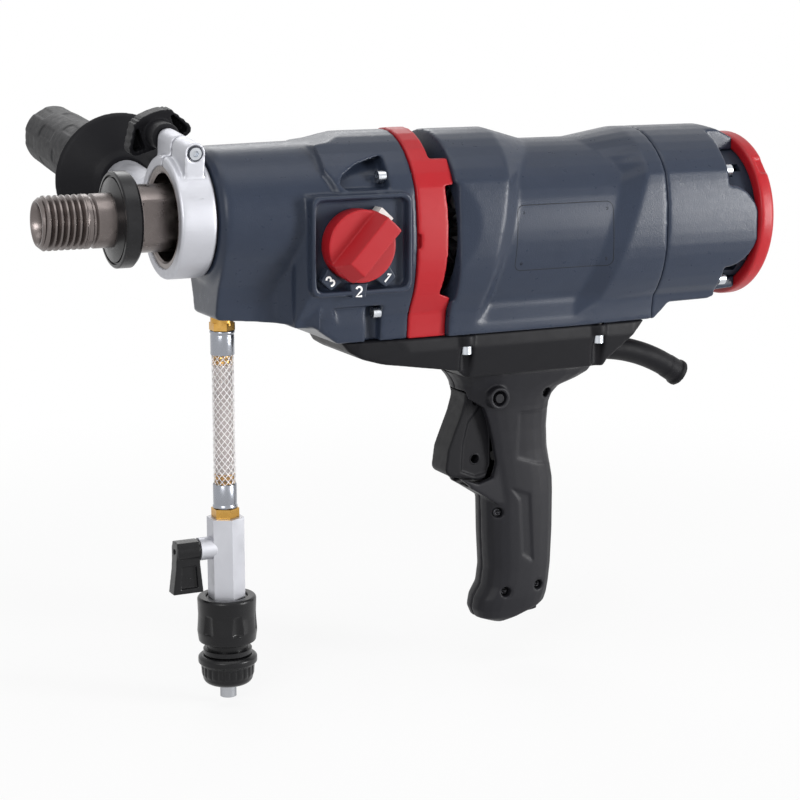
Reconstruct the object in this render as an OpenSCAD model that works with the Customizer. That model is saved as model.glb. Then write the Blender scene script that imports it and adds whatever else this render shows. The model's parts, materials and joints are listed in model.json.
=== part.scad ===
// Hand-held wet core drill: three-speed motor unit with side handle and water feed.
// Millimetres, +Z up. The spindle axis is the X axis and the spindle points to -X.
// The origin is on that axis, in the plane of the clamp's front face.

/* [Spindle] */
// Major diameter of the spindle thread
thread_d = 31.75; // [31:0.05:32.5]
// Length of the threaded nose
thread_len = 29.6; // [26:0.1:31]
// How far the tip stands in front of the clamp
spindle_reach = 74.6; // [72:0.1:78]
// Diameter of the shaft behind the slip ring
shaft_d = 40; // [38:0.1:41]
// Width across the wrench flats
flats_w = 32; // [30:0.1:34]
// Bore of the pipe socket in the tip
socket_d = 19; // [17:0.1:21]
// Depth of the pipe socket
socket_len = 18; // [14:0.5:22]
// Rim diameter of the slip ring
slip_ring_d = 56.4; // [52:0.1:58]
// Thickness of the slip ring
slip_ring_t = 12.4; // [11:0.1:13]

/* [Neck and side handle] */
// Diameter of the clamping neck
neck_d = 60; // [58:0.5:62]
// Wall of the neck sleeve
neck_wall = 4; // [3.5:0.1:4.5]
// Width of the clamp ring
clamp_w = 22; // [20:0.5:22.5]
// Wall of the clamp ring
clamp_wall = 6.4; // [5.5:0.1:7]
// Tilt of the side handle above the horizontal, degrees
clamp_tilt = 7; // [0:1:15]
// Length of each clamp lug from the slit
lug_len = 24; // [20:0.5:26]
// Width of the clamp lugs
lug_w = 12.4; // [11:0.1:14]
// Height of the clamp bolt above the spindle axis
bolt_h = 42; // [41:0.1:44]
// Distance from the spindle axis to the hand guard
arm_len = 100; // [90:1:110]
// Diameter of the handle arm
arm_d = 28; // [24:0.5:30]
// Diameter of the hand guard
guard_d = 83; // [74:1:85]
// Largest diameter of the side grip
grip_d = 43.5; // [40:0.5:45]
// Length of the side grip
grip_len = 155; // [140:1:160]
// Span of the wing knob
wing_span = 41; // [40:1:44]

/* [Gearbox] */
// Diameter of the round barrel
barrel_d = 82; // [80:0.5:84]
// Where the barrel starts
barrel_x = 23; // [22.6:0.1:24]
// Rear face of the gear housing
box_x1 = 144.5; // [143.5:0.1:146]
// Highest point of the gear housing
box_top = 47.5; // [46:0.1:49]
// Half width of the gear housing
box_side = 47; // [46:0.1:48]
// Height of the joint between housings and handle base
foot_z = -77.5; // [-79:0.1:-76]
// Module of the spindle gears
gear_m = 2; // [2:0.1:2]
// Teeth of the three drive gears, from speed 1 to speed 3
drive_teeth = [11, 19, 24]; // [10:1:24]
// Sum of the teeth in each speed pair
pair_teeth = 44; // [44:1:44]
// Module of the input pair
input_m = 1.2; // [1.2:0.1:1.2]
// Teeth of the armature pinion
pinion_teeth = 12; // [12:1:12]
// Gap at the tooth flanks
backlash = 0.7; // [0.5:0.1:0.8]
// Face width of the gears
gear_w = 7.5; // [7:0.1:7.5]
// Pitch from one gear to the next
gear_step = 9; // [9:0.1:9]

/* [Selector] */
// Diameter of the selector knob
knob_d = 43; // [40:0.5:44]
// Position of the selector along the housing
knob_x = 104.5; // [104:0.1:105]
// Height of the selector axis
knob_z = -16.5; // [-17:0.1:-16]
// Turn from speed 3 to speed 1, degrees
knob_turn = 85; // [80:1:90]

/* [Motor] */
// Height of the motor axis below the spindle axis
motor_drop = 15.2; // [15.2:0.1:15.2]
// Front face of the motor housing
motor_x0 = 170; // [169:0.5:171]
// Seam between motor housing and rear cover
seam_x = 319; // [317:0.5:321]
// Highest point of the hood
hood_top = 47; // [46:0.1:48]
// Highest point of the waist
waist_top = 39; // [37:0.1:40]
// Highest point of the rear cover
rear_top = 44.5; // [43:0.1:45.5]
// Half width of the hood
hood_side = 51; // [50.5:0.1:52]
// Half width of the waist
waist_side = 46.6; // [46.2:0.1:47]
// Half width of the rear cover
rear_side = 51; // [50.2:0.1:51.6]
// Diameter of the stator
stator_d = 85; // [83:0.5:86]
// Diameter of the armature
armature_d = 50; // [46:0.5:52]
// Diameter of the rear ring
rear_ring_d = 108; // [104:1:110]
// Rear end of the tool
rear_x1 = 399; // [397:0.5:401]

/* [Handle] */
// Half width of the pistol grip
grip_half = 17; // [16:0.1:18]
// Half width of the trigger
trigger_half = 10.5; // [9:0.1:11]
// Diameter of the lock button
lock_d = 5.8; // [5:0.1:7]
// Outside diameter of the cord sleeve
sleeve_d = 15.6; // [14:0.1:17]
// Bore of the cord sleeve
cord_bore_d = 9.5; // [8:0.1:10]

/* [Water feed] */
// Distance of the water feed behind the clamp's front plane
feed_x = 36.9; // [36.5:0.1:37.3]
// Outside diameter of the hose
hose_d = 13.4; // [12:0.1:14]
// Upper end of the hose
hose_z0 = -69; // [-70:0.1:-68]
// Lower end of the hose
hose_z1 = -178.7; // [-181:0.1:-176]
// Width across flats of the valve body
valve_af = 20; // [18:0.1:22]
// Length of the valve body
valve_len = 50.6; // [48:0.1:54]
// Diameter of the coupling sleeve
coupling_d = 36.4; // [34:0.1:38]

/* [Hidden] */
$fn = 72;

running = 0.05;
slack = 0.3;
motor_z = -motor_drop;
counter_z = -gear_m * pair_teeth / 2;
input_teeth = 2 * (motor_z - counter_z) / input_m - pinion_teeth;
neck_r = neck_d / 2;
neck_bore = neck_r - neck_wall;
barrel_r = barrel_d / 2;
shaft_r = shaft_d / 2;
thread_r = thread_d / 2;
ring_x1 = -19.3;
ring_x0 = ring_x1 - slip_ring_t;
gears_x = 104.5;
gear_x = [gears_x + 2 * gear_step, gears_x + gear_step, gears_x];
shift_travel = 2 * gear_step;
shift_pin_r = shift_travel / 2 / sin(knob_turn / 2);
collar_x = 82.5;
key_x = gears_x + gear_w / 2;
input_x = 142.5;
mid_x = 131.5;
plate_x1 = 160;
counter_r = 6;
land_a = 13;
gear_seat_r = 15;
spindle_tail_r = 10;
cavity_r = 35.5;
lobe_r = 28;
recess_y = -43;
screw_r = 2.5;
head_r = 3.7;
box_screws = [[34.8, 21.8], [31.5, -60]];
box_screw_x = 122;
rear_screw_at = [[37, 16.5], [33.5, -54.5]];
rear_screw_x = 369;
base_screw_x = [185, 280];
base_screw_y = 32.2;
cover_x1 = 388;
drum_r = 46;
base_z = foot_z - 0.2;
grip_top = -106;
pivot = [204, -126];
lock_at = [213, -122];
lug_x = clamp_w / 2 + 0.6;
hose_ends = 15;
stem_z = -203;
paint = [0.26, 0.29, 0.35];
red = [0.75, 0.16, 0.20];
black = [0.15, 0.15, 0.16];
alu = [0.78, 0.79, 0.82];
steel = [0.55, 0.53, 0.51];
brass = [0.75, 0.60, 0.32];

// Placing helpers: solids along X, Y and Z
module along_x(x0, x1) {
    translate([x0, 0, 0]) rotate([90, 0, 90]) linear_extrude(x1 - x0) children();
}
module along_y(y0, y1) {
    translate([0, y1, 0]) rotate([90, 0, 0]) linear_extrude(y1 - y0) children();
}
module cyl_x(x0, x1, r, y = 0, z = 0, r2 = undef) {
    translate([x0, y, z]) rotate([0, 90, 0])
        cylinder(h = x1 - x0, r1 = r, r2 = is_undef(r2) ? r : r2);
}
module cyl_y(y0, y1, r, x, z) {
    translate([x, y0, z]) rotate([-90, 0, 0]) cylinder(h = y1 - y0, r = r);
}
module cyl_z(z0, z1, r, x = feed_x, y = 0) {
    translate([x, y, z0]) cylinder(h = z1 - z0, r = r);
}
module ring_x(x0, x1, r_in, r_out, z = 0) {
    difference() {
        cyl_x(x0, x1, r_out, z = z);
        cyl_x(x0 - 1, x1 + 1, r_in, z = z);
    }
}
module revolve_x(profile, z = 0) {
    translate([0, 0, z]) rotate([0, 90, 0]) rotate_extrude() polygon(profile);
}
module revolve_y(profile, x, z = 0) {
    translate([x, 0, z]) rotate([-90, 0, 0]) rotate_extrude() polygon(profile);
}
module box(x, y, z) {
    translate([x[0], y[0], z[0]]) cube([x[1] - x[0], y[1] - y[0], z[1] - z[0]]);
}
module both_sides() {
    children();
    mirror([0, 1, 0]) children();
}

// Points of an arc in a profile
function arc(c, r, a0, a1, n = 4) =
    [for (i = [0:n]) let (a = a0 + (a1 - a0) * i / n) [c[0] + r * cos(a), c[1] + r * sin(a)]];
function mirrored(half) = concat(half, [for (i = [len(half) - 1:-1:1]) [-half[i][0], half[i][1]]]);

// Lower half of a housing's side, from its widest place at z = -14 to its foot
function belly(side, foot, n = 6) = concat(
    [for (i = [1:n]) let (t = i / n) [side - ((side - foot) / 2 + 2.6) * pow(t, 2.74), -14 - 43 * t]],
    [[foot + 1.6, -62], [foot + 0.6, -70], [foot, foot_z]]);

// Outline of a housing in the YZ plane: an elliptic roof over upright sides and a narrower foot
function section(top, side, foot, z_side = -12, n = 9) =
    mirrored(concat(
        [for (i = [0:n]) [side * sin(90 * i / n), z_side + (top - z_side) * cos(90 * i / n)]], belly(side, foot)));

// The same with a crease where the roof meets the sides
function roof(top, edge, z_mid = -12, n = 7) =
    let (rise = (edge[1] - z_mid) / (top - z_mid), a = edge[0] / sqrt(1 - rise * rise), t = acos(rise))
    [for (i = [0:n]) [a * sin(t * i / n), z_mid + (top - z_mid) * cos(t * i / n)]];
function flank(edge, side, foot, n = 5) = concat(
    [for (i = [1:n]) let (t = 1 - i / n) [side - (side - edge[0]) * t * t, -14 + (edge[1] + 14) * t]],
    belly(side, foot));
function creased(top, edge, side, foot) = mirrored(concat(roof(top, edge), flank(edge, side, foot)));

module rounded_rect(x0, x1, z0, z1, r) {
    polygon(concat(
        arc([x0 + r, z0 + r], r, 180, 270), arc([x1 - r, z0 + r], r, 270, 360),
        arc([x1 - r, z1 - r], r, 0, 90), arc([x0 + r, z1 - r], r, 90, 180)));
}

// Straight-sided gear; a tooth or a gap points to the mating gear at angle toward
module gear(teeth, m, x0, width, bore, toward, gap = false, keyway = 0) {
    pitch_r = m * teeth / 2;
    half = (PI * m / 2 - backlash) / 2;
    lean = tan(20);
    function at(r, w, c) = [r * cos(c + w / r * 180 / PI), r * sin(c + w / r * 180 / PI)];
    difference() {
        along_x(x0, x0 + width) polygon([
            for (i = [0:teeth - 1]) let (c = toward + (gap ? 180 / teeth : 0) + i * 360 / teeth)
            each [
                at(pitch_r - 1.2 * m, -half - 0.9 * m * lean, c), at(pitch_r + 0.9 * m,
                    -half + m * lean, c),
                at(pitch_r + 0.9 * m, half - m * lean, c), at(pitch_r - 1.2 * m, half + 0.9 * m * lean, c)
            ]]);
        cyl_x(x0 - 1, x0 + width + 1, bore);
        // three wide keyways, so the key finds one of them while the gear still turns
        if (keyway > 0) difference() {
            cyl_x(x0 - 1, x0 + width + 1, keyway);
            for (a = [30, 150, 270]) rotate([a, 0, 0]) along_x(x0 - 2, x0 + width + 2)
                polygon([[0, 0], [20 * cos(land_a), -20 * sin(land_a)], [20 * cos(land_a), 20 * sin(land_a)]]);
        }
    }
}

module gear_cavity(grow = 0) {
    circle(cavity_r + grow);
    translate([0, counter_z]) circle(lobe_r + grow);
    translate([0, counter_z]) polygon([[-40 - grow, 48], [-40 - grow, 6], [-33 - grow, -6], [26 + grow, -6],
        [26 + grow, 48]]);
}

module box_screw_holes(x0, x1) {
    for (s = [-1, 1], p = box_screws)
        cyl_x(x0, x1, screw_r + 0.1, s * p[0], p[1]);
}

module gear_housing() {
    color(paint) difference() {
        union() {
            barrel_body();
            water_nose();
            gearbox_body();
            along_y(-49.5, -38) rounded_rect(75, 140, -46, 13.2, 5);
        }
        cyl_x(barrel_x - 1, 50, neck_r + running);
        cyl_x(49, 53, 28);
        cyl_x(52, 67, 34 + running);
        cyl_x(66, 80, 24);
        gear_space();
        selector_recess();
        both_sides() screw_pockets();
        box_screw_holes(box_screw_x - 1, box_x1 + 1);
        cyl_z(-61, -46, 6.6 + running);
        cyl_z(-70, -61, 7 + slack);
        cyl_z(-50, -28, 3.5);
    }
}

module barrel_body() {
    edge = 6;
    revolve_x(concat(
        [[0, barrel_x]],
        [for (p = arc([barrel_r - edge, barrel_x + edge], edge, -90, 0)) p],
        [[barrel_r + 1.5, 98], [barrel_r + 1.5, 106], [0, 106]]));
}

module water_nose() {
    intersection() {
        along_y(-60, 60) polygon([[26, 0], [26, -58.5], [28, -60.5], [80, -65.5], [84, -68], [84, 0]]);
        union() {
            along_x(26, 84) polygon(mirrored([[0, 6], [40.4, -6], [37, -18], [30, -30], [24, -41],
                [20.6, -51], [19, -60], [18.6, -80]]));
            translate([0, 0, -90]) linear_extrude(90) polygon(concat(
                [[46, -17], [50, -19], [62, -23], [74, -34], [84, -40]],
                [[84, 40], [74, 34], [62, 23], [50, 19], [46, 17]]));
        }
    }
}

module gearbox_body() {
    outline = creased(box_top, [box_side - 3.4, 15], box_side, 33);
    intersection() {
        along_x(70, box_x1) polygon(outline);
        along_y(-60, 60) polygon([[70, 13], [box_x1, 13], [box_x1, -90], [118, -90], [101, -79.5],
            [83, -67], [70, -66]]);
        translate([0, 0, -90]) linear_extrude(140) polygon([
            [70, -34], [74, -41], [80, -46.5], [86, -48], [160, -50], [160, 50], [86, 48],
                [80, 46.5], [74, 41], [70, 34]]);
    }
    intersection() {
        along_x(88, box_x1) polygon(outline);
        along_y(-60, 60) polygon([[88, 12], [88, 41], [98, 42.5], [104, 44.5], [110, 47],
            [118, 48.5], [160, 48.5], [160, 12]]);
        translate([0, 0, -90]) linear_extrude(160) polygon([
            [88, -36], [94, -42], [102, -46], [110, -48], [160, -50], [160, 50], [110, 48],
                [102, 46], [94, 42], [88, 36]]);
    }
}

module gear_space() {
    along_x(gears_x - 1, box_x1 + 1) gear_cavity();
    along_x(79, gears_x) {
        circle(cavity_r);
        translate([0, counter_z]) circle(13);
        translate([0, counter_z]) polygon([[-40, 48], [-40, 6], [-33, -6], [-26, -12], [13, -12], [13, 48]]);
    }
    // rebate for the rim of the mid plate
    along_x(mid_x + 10, box_x1 + 1) gear_cavity(3);
    cyl_x(72, 80, 10.5 + running, z = counter_z);
    cyl_x(70, 73, 7.5, z = counter_z);
    cyl_x(73, 80, screw_r + running, -30, counter_z + 4);
    cyl_y(-60, -39, 6 + running, knob_x, knob_z);
}

module selector_recess() {
    along_y(-60, recess_y) rounded_rect(78, 137, -43, 10.2, 4);
}

module screw_pockets() {
    difference() {
        along_y(-70, -22) polygon([[96, 19], [100, 24], [110, 29.5], [128, 34], [128, 15], [101, 15]]);
        cyl_x(90, 130, cavity_r + 2.2);
    }
    cyl_x(118, 128, head_r + 0.3, -box_screws[0][0], box_screws[0][1]);
    along_y(-70, -34) polygon([[93, -55], [126, -55], [126, -90], [112, -90], [102, -76], [96, -62]]);
    along_y(-70, -27) polygon([[116.5, -55], [126, -55], [126, -90], [116.5, -90]]);
}

module neck_sleeve() {
    color(steel) difference() {
        ring_x(1, 50, neck_bore, neck_r);
        cyl_z(-40, 0, 3.5);
        cyl_x(0.9, 2.2, neck_bore + 1.3, r2 = neck_bore);
    }
}

module spindle_seals() {
    color(black) for (x = [28, 40])
        revolve_x([[shaft_r + running, x + 2], [shaft_r + 1.4, x], [neck_bore - running, x],
                   [neck_bore - running, x + 6], [shaft_r + 3.4, x + 6], [shaft_r + 1.6, x + 3.4]]);
}

// Ball bearing as outer ring, inner ring and a crown of balls between them
module ball_bearing(x0, width, r_in, r_out, z = 0, balls = 11) {
    mid = (r_in + r_out) / 2;
    ball = (r_out - r_in) * 0.27;
    groove = ball + 0.05;
    difference() {
        union() {
            ring_x(x0, x0 + width, r_in, mid - ball * 0.55, z);
            ring_x(x0, x0 + width, mid + ball * 0.55, r_out, z);
        }
        translate([x0 + width / 2, 0, z]) rotate([0, 90, 0])
            rotate_extrude() translate([mid, 0]) circle(groove);
    }
    for (i = [0:balls - 1])
        translate([x0 + width / 2, 0, z]) rotate([i * 360 / balls, 0, 0]) translate([0, 0,
            mid]) sphere(ball);
}

module spindle_bearings() {
    color(steel) {
        ball_bearing(52, 15, shaft_r + running, 34);
        ball_bearing(mid_x + 1, 9, spindle_tail_r + running, 18.5);
    }
}
module countershaft_bearings() {
    color(steel) for (x = [72, 152])
        ball_bearing(x, 5, counter_r + running, 10.5, counter_z, 9);
}
module armature_bearings() {
    color(steel) {
        ball_bearing(151.5, 8.5, 6 + running, 16, motor_z, 8);
        ball_bearing(329, 9, 5 + running, 15, motor_z, 8);
    }
}

module mid_plate() {
    color(alu) difference() {
        union() {
            along_x(mid_x, mid_x + 10) gear_cavity(-slack);
            along_x(mid_x + 10, box_x1) difference() {
                gear_cavity(3 - slack);
                translate([0, counter_z]) circle(lobe_r - 1.5);
                translate([0, motor_z]) circle(16);
            }
        }
        cyl_x(mid_x - 1, mid_x + 1.5, 16);
        cyl_x(mid_x + 1, mid_x + 12, 18.5 + running);
        cyl_x(mid_x - 1, mid_x + 12, 8, z = counter_z);
        cyl_x(mid_x - 1, mid_x + 4, screw_r + running, -30, counter_z + 4);
        box_screw_holes(mid_x - 1, box_x1 + 1);
    }
}

function plate_outline(inset) = section(box_top - inset, box_side - inset, 33 - inset);

module gear_plate() {
    color(alu) difference() {
        intersection() {
            along_x(box_x1, plate_x1) polygon(plate_outline(4.4));
            box([box_x1, plate_x1], [-60, 60], [foot_z + 4, 60]);
        }
        cyl_x(box_x1 - 1, 151.5, lobe_r - 3, z = counter_z);
        cyl_x(box_x1 - 1, 151.5, 14, z = motor_z);
        cyl_x(151, plate_x1 + 1, 16 + running, z = motor_z);
        cyl_x(151, 157, 10.5 + running, z = counter_z);
        cyl_x(156, plate_x1 + 1, 8, z = counter_z);
        box_screw_holes(box_x1 - 1, plate_x1 + 1);
    }
}

// Air ring: a band with corner tabs that reach back to the motor housing and leave vents between
module vent_ring() {
    color(red) difference() {
        along_x(box_x1, motor_x0)
            polygon(creased(box_top + 0.9, [box_side - 2.4, 15.4], box_side + 1, 33.6));
        along_x(box_x1 - 1, plate_x1 + 0.1) polygon(plate_outline(4.1));
        along_x(plate_x1, motor_x0 + 4)
            polygon(creased(box_top - 2.6, [box_side - 6, 15], box_side - 2.6, 29));
        vent_gaps();
        box_screw_holes(box_x1 - 1, motor_x0 + 4);
        box([box_x1 - 1, box_x1 + 2], [-60, -44], [-21, -12]);
    }
}

module vent_gaps() {
    // side vents, top vents between the shoulders, and the open bottom behind the band
    along_y(-70, 70) polygon([[motor_x0 + 5, 17], [163.8, 15.4], [164.6, 4], [164.9, -8], [164.6, -26],
        [163.4, -40], [161.8, -50], [motor_x0 + 5, -55]]);
    along_x(158, motor_x0 + 5) polygon([[-36, 60], [36, 60], [36, 31], [-36, 31]]);
    box([158, motor_x0 + 5], [-24, 24], [-90, -64]);
}

module motor_housing() {
    color(paint) difference() {
        motor_shell();
        cyl_x(motor_x0 - 1, 197, stator_d / 2 + 1, z = motor_z);
        cyl_x(196, seam_x + 1, stator_d / 2 + running, z = motor_z);
        box_screw_holes(motor_x0 - 1, 188);
        for (s = [-1, 1], x = base_screw_x) cyl_z(foot_z - 1, foot_z + 9, screw_r + 0.1, x,
            s * base_screw_y);
        both_sides() hood_panel();
        // the shell stands back behind the air outlets
        along_y(-70, 70) polygon([[motor_x0 - 1, 17], [motor_x0 + 2, 17], [motor_x0 + 2, -55],
            [motor_x0 - 1, -55]]);
    }
}

// One ring of the motor shell; its ends lean, so x is given at the foot, the crease and the top
function shell_x(x, z, top) =
    z > 20 ? x[1] + (x[2] - x[1]) * (z - 20) / (top - 20) : x[0] + (x[1] - x[0]) * (z + 73) / 93;
function shell_ring(x, top, edge, side) =
    [for (p = mirrored(concat(roof(top, edge), side))) [shell_x(x, p[1], top), p[0], p[1]]];
function waist_flank(edge, side, n = 5) = concat(
    [for (i = [1:n]) let (z = edge[1] - (edge[1] + 14) * i / n) [side * sqrt(1 - pow((z + 13) / 54, 2)), z]],
    [for (i = [1:n + 1]) let (t = i / (n + 1)) [side - 12 * pow(t, 1.85), -14 - 43 * t]],
    [[side - 12.4, -60.5], [38, -71], [38, foot_z]]);

// Hood at the front, slim waist and rear shoulder in one skin
module motor_shell() {
    hood = [hood_side - 4.4, 18];
    waist = [waist_side * 0.809, 18];
    rear = [rear_side - 4.6, 18];
    loft([
        shell_ring([motor_x0, motor_x0, motor_x0], hood_top, hood, flank(hood, hood_side, 38)),
        shell_ring([188, 207, 210], hood_top, hood, flank(hood, hood_side, 38)),
        shell_ring([196, 218, 238], waist_top, waist, waist_flank(waist, waist_side)),
        shell_ring([258, 292, 272], waist_top, waist, waist_flank(waist, waist_side)),
        shell_ring([272, 306, 307], rear_top, rear, flank(rear, rear_side, 37.5)),
        shell_ring([seam_x, seam_x, seam_x], rear_top, rear, flank(rear, rear_side, 34))]);
}

module hood_panel() {
    translate([195, 0, 17]) rotate([0, 15.5, 0]) translate([0, 0, -90]) linear_extrude(90)
        polygon([[0, -hood_side - 0.4], [-40, -hood_side + 8.6], [-40, -70], [0, -70]]);
}

module rear_cover() {
    color(paint) difference() {
        intersection() {
            along_x(seam_x, cover_x1) polygon(creased(rear_top, [rear_side - 4.6, 18], rear_side, 33));
            along_y(-60, 60) polygon([
                [seam_x, 60], [seam_x, -80], [322, -77.5], [332, -67.5], [362, -67], [374, -63],
                [cover_x1, -62], [cover_x1, 36], [370, 44.5], [366, 60]]);
        }
        difference() {
            cyl_x(seam_x - 1, 359, 42, z = motor_z);
            bearing_web();
        }
        cyl_x(358, cover_x1 + 1, drum_r + slack, z = motor_z);
        for (s = [-1, 1], p = rear_screw_at) cyl_x(330, 372, screw_r + 0.1, s * p[0], p[1]);
        both_sides() corner_notches();
    }
}

module bearing_web() {
    difference() {
        union() {
            cyl_x(326, 341, 21, z = motor_z);
            for (a = [45, 135]) translate([330, 0, motor_z]) rotate([a, 0, 0]) box([0, 8], [-7, 7],
                [-60, 60]);
        }
        cyl_x(328.9, 342, 15 + running, z = motor_z);
        cyl_x(325, 330, 9, z = motor_z);
    }
}

// Corners cut back for the cover screws; a tongue stays on the side and on the roof
module corner_notches() {
    lobe = [for (t = [-78:12:78]) [366.5 + 23 * cos(t), -18.7 + 27 * sin(t)]];
    difference() {
        union() {
            along_y(-70, -18) polygon([[366.5, 60], [366.5, 6], [400, 6], [400, 60]]);
            along_y(-70, -26) polygon([[366.5, -90], [366.5, -43], [400, -43], [400, -90]]);
            along_y(-70, -40) polygon([[372, 8], [372, -46], [400, -46], [400, 8]]);
        }
        along_y(-80, -20) polygon(concat([[360, -45.1]], lobe, [[360, 7.7]]));
    }
}

module intake_drum() {
    color(black) difference() {
        cyl_x(358, 394, drum_r, z = motor_z);
        cyl_x(357, 389, drum_r - 3, z = motor_z);
        for (i = [-4:4]) box([388, 395], [-34 + 4 * abs(i), 34 - 4 * abs(i)],
            [motor_z + i * 7 - 1.8, motor_z + i * 7 + 1.8]);
        for (a = [0:30:330]) translate([364, 0, motor_z]) rotate([a + 15, 0, 0]) box([0, 20],
            [-3, 3], [30, 60]);
        for (s = [-1, 1], p = rear_screw_at) cyl_x(350, 376, 4.6, s * p[0], p[1]);
    }
}

module rear_ring() {
    r = rear_ring_d / 2;
    color(red) difference() {
        revolve_x(concat(
            [[drum_r + running, cover_x1], [r - 2, cover_x1]], arc([r - 2, cover_x1 + 2], 2, -90, 0),
            arc([r - 3, rear_x1 - 3], 3, 0, 90), [[drum_r + running, rear_x1]]), motor_z);
        for (a = [50, 230]) translate([0, 0, motor_z]) rotate([a, 0, 0])
            box([cover_x1 + 4, rear_x1 + 1], [-6, 6], [r - 2, r + 5]);
    }
}

// Socket head screw along X; head_dir is the side its head looks to
module screw_x(x, length, y, z, head_dir) {
    translate([x, y, z]) rotate([0, head_dir * 90, 0]) difference() {
        union() {
            cylinder(h = 5, r = head_r);
            translate([0, 0, -length]) cylinder(h = length, r = screw_r);
        }
        translate([0, 0, 2.4]) cylinder(h = 3, r = 2.3, $fn = 6);
    }
}

module gearbox_screws() {
    color(alu) for (s = [-1, 1], p = box_screws)
        screw_x(p[1] > 0 ? 128 : 126, 58, s * p[0], p[1], -1);
}
module rear_screws() {
    color(alu) for (s = [-1, 1], p = rear_screw_at)
        screw_x(rear_screw_x, 34, s * p[0], p[1], 1);
}
module base_screws() {
    color(alu) for (s = [-1, 1], x = base_screw_x)
        translate([x, s * base_screw_y, -85.1]) rotate([0, 90, 0]) screw_x(0, 15, 0, 0, 1);
}

module stator() {
    color(steel) difference() {
        cyl_x(198, 264, stator_d / 2, z = motor_z);
        cyl_x(190, 270, armature_d / 2 + 1, z = motor_z);
        for (a = [0, 180]) translate([0, 0, motor_z]) rotate([a, 0, 0])
            along_x(190, 270) polygon(concat([[-14, 24]], arc([0, 0], 37, 112, 68), [[14, 24]]));
        for (a = [90, 270]) translate([0, 0, motor_z]) rotate([a, 0, 0])
            box([190, 270], [-3, 3], [stator_d / 2 - 2, stator_d]);
    }
}

module brush_holders() {
    color(brass) both_sides() difference() {
        box([295, 307], [1 - stator_d / 2, -19], [motor_z - 7, motor_z + 7]);
        box([297, 305], [-stator_d / 2, -18], [motor_z - 5, motor_z + 5]);
    }
}
module carbon_brushes() {
    color(black) both_sides() box([297.2, 304.8], [-36, -17.2], [motor_z - 4.8, motor_z + 4.8]);
}

module handle_base() {
    color(black) difference() {
        union() {
            for (s = [-1, 1], x = base_screw_x) cyl_z(-85, base_z, 5.4, x, s * base_screw_y);
            intersection() {
                along_y(-50, 50) polygon([[103, base_z], [316, base_z], [288, -102], [286, grip_top],
                    [187, grip_top], [181, -101], [128, -92.5], [116, -89], [108, -84.5]]);
                along_x(90, 330)
                    polygon(mirrored([[0, base_z], [34, base_z], [34.6, -86], [29, -110]]));
                translate([0, 0, -120]) linear_extrude(60) polygon([
                    [100, -24], [112, -31], [150, -35], [180, -40], [290, -40], [318, -30],
                    [318, 30], [290, 40], [180, 40], [150, 35], [112, 31], [100, 24]]);
            }
        }
        for (s = [-1, 1], x = base_screw_x) {
            cyl_z(-95, base_z + 1, screw_r + 0.1, x, s * base_screw_y);
            cyl_z(-120, -85, head_r + 0.4, x, s * base_screw_y);
        }
        cord_bend(sleeve_d / 2 + slack);
        box([196, 290], [-22, 22], [-120, -82]);
    }
}

// Outline of the grip at a height: front, back, half width
grip_levels = [
    [grip_top - 0.1, 186.5, 288, 25], [-108, 188.5, 290, 24.7], [-111, 191, 288, 24], [-115, 193.3, 279, 22.8],
    [-119.2, 194, 266, 21.5], [-124, 195, 261, 20.5], [-130, 198, 258.6, 19.5], [-146, 203, 257.7, 18],
    [-160, 206, 258.6, 17.2], [-181, 210, 262.7, 17], [-190, 212.5, 263, 17], [-215, 213.2, 263, 17],
    [-238, 214.6, 262, 17], [-250, 213, 260.7, 17], [-258, 208, 259.5, 16.8], [-265, 206.6, 257, 16],
    [-271, 209, 253, 14], [-274.5, 219, 247, 11]];

function ring_points(level, n = 28, e = 3) = [
    for (i = [0:n - 1]) let (a = 360 * i / n, c = cos(a), s = sin(a), k = pow(pow(abs(c),
        e) + pow(abs(s), e), -1 / e))
    [(level[1] + level[2]) / 2 + (level[2] - level[1]) / 2 * k * c, level[3] * grip_half / 17 * k * s,
        level[0]]];

module loft(rings) {
    n = len(rings[0]);
    m = len(rings);
    polyhedron(
        points = [for (r = rings) each r],
        faces = concat(
            [[for (i = [n - 1:-1:0]) i]],
            [for (j = [0:m - 2], i = [0:n - 1]) each [
                [j * n + i, (j + 1) * n + (i + 1) % n, (j + 1) * n + i],
                [j * n + i, j * n + (i + 1) % n, (j + 1) * n + (i + 1) % n]]],
            [[for (i = [0:n - 1]) (m - 1) * n + i]]));
}

module grip_shell(side) {
    difference() {
        loft([for (l = grip_levels) ring_points(l)]);
        if (side < 0) box([150, 350], [-0.05, 60], [-300, -90]);
        else box([150, 350], [-60, 0.05], [-300, -90]);
        // space for the trigger and the switch
        along_y(-trigger_half - 0.4, trigger_half + 0.4) polygon([
            [180, -118.6], [212, -118.6], [212, -114], [254, -114], [254, -180], [224, -181], [180, -181]]);
        // side walls end in a curve behind the trigger
        along_y(-60, 60) polygon([[180, -121.5], [194.3, -121.5], [207, -129.5], [211, -141], [214, -152],
            [217, -167], [214, -176], [204, -179], [180, -174]]);
        along_y(-9, 9) polygon([[222, -180], [252, -180], [252, -257], [224, -260]]);
        // slanted foot round a plug
        difference() {
            along_y(-60, 60) polygon([[221, -275.5], [263, -260.5], [275, -258], [270, -290], [215, -290]]);
            along_y(-6, 6) polygon([[237, -262], [253, -258], [253.4, -270.6], [239, -272]]);
        }
    }
}

// Beak under the trigger, drawn for the near side
module trigger_beak() {
    along_y(-15.5, -trigger_half - 0.5) polygon([[190.4, -173.9], [204.2, -184.9], [217.6, -193.6],
        [224, -193], [224, -168], [217.6, -167], [215, -175.6], [204, -178.8]]);
    along_y(-15.5, -0.05) polygon([[198, -181.2], [204.2, -184.9], [217.6, -193.6], [224, -193],
        [224, -181.2]]);
}

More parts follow.
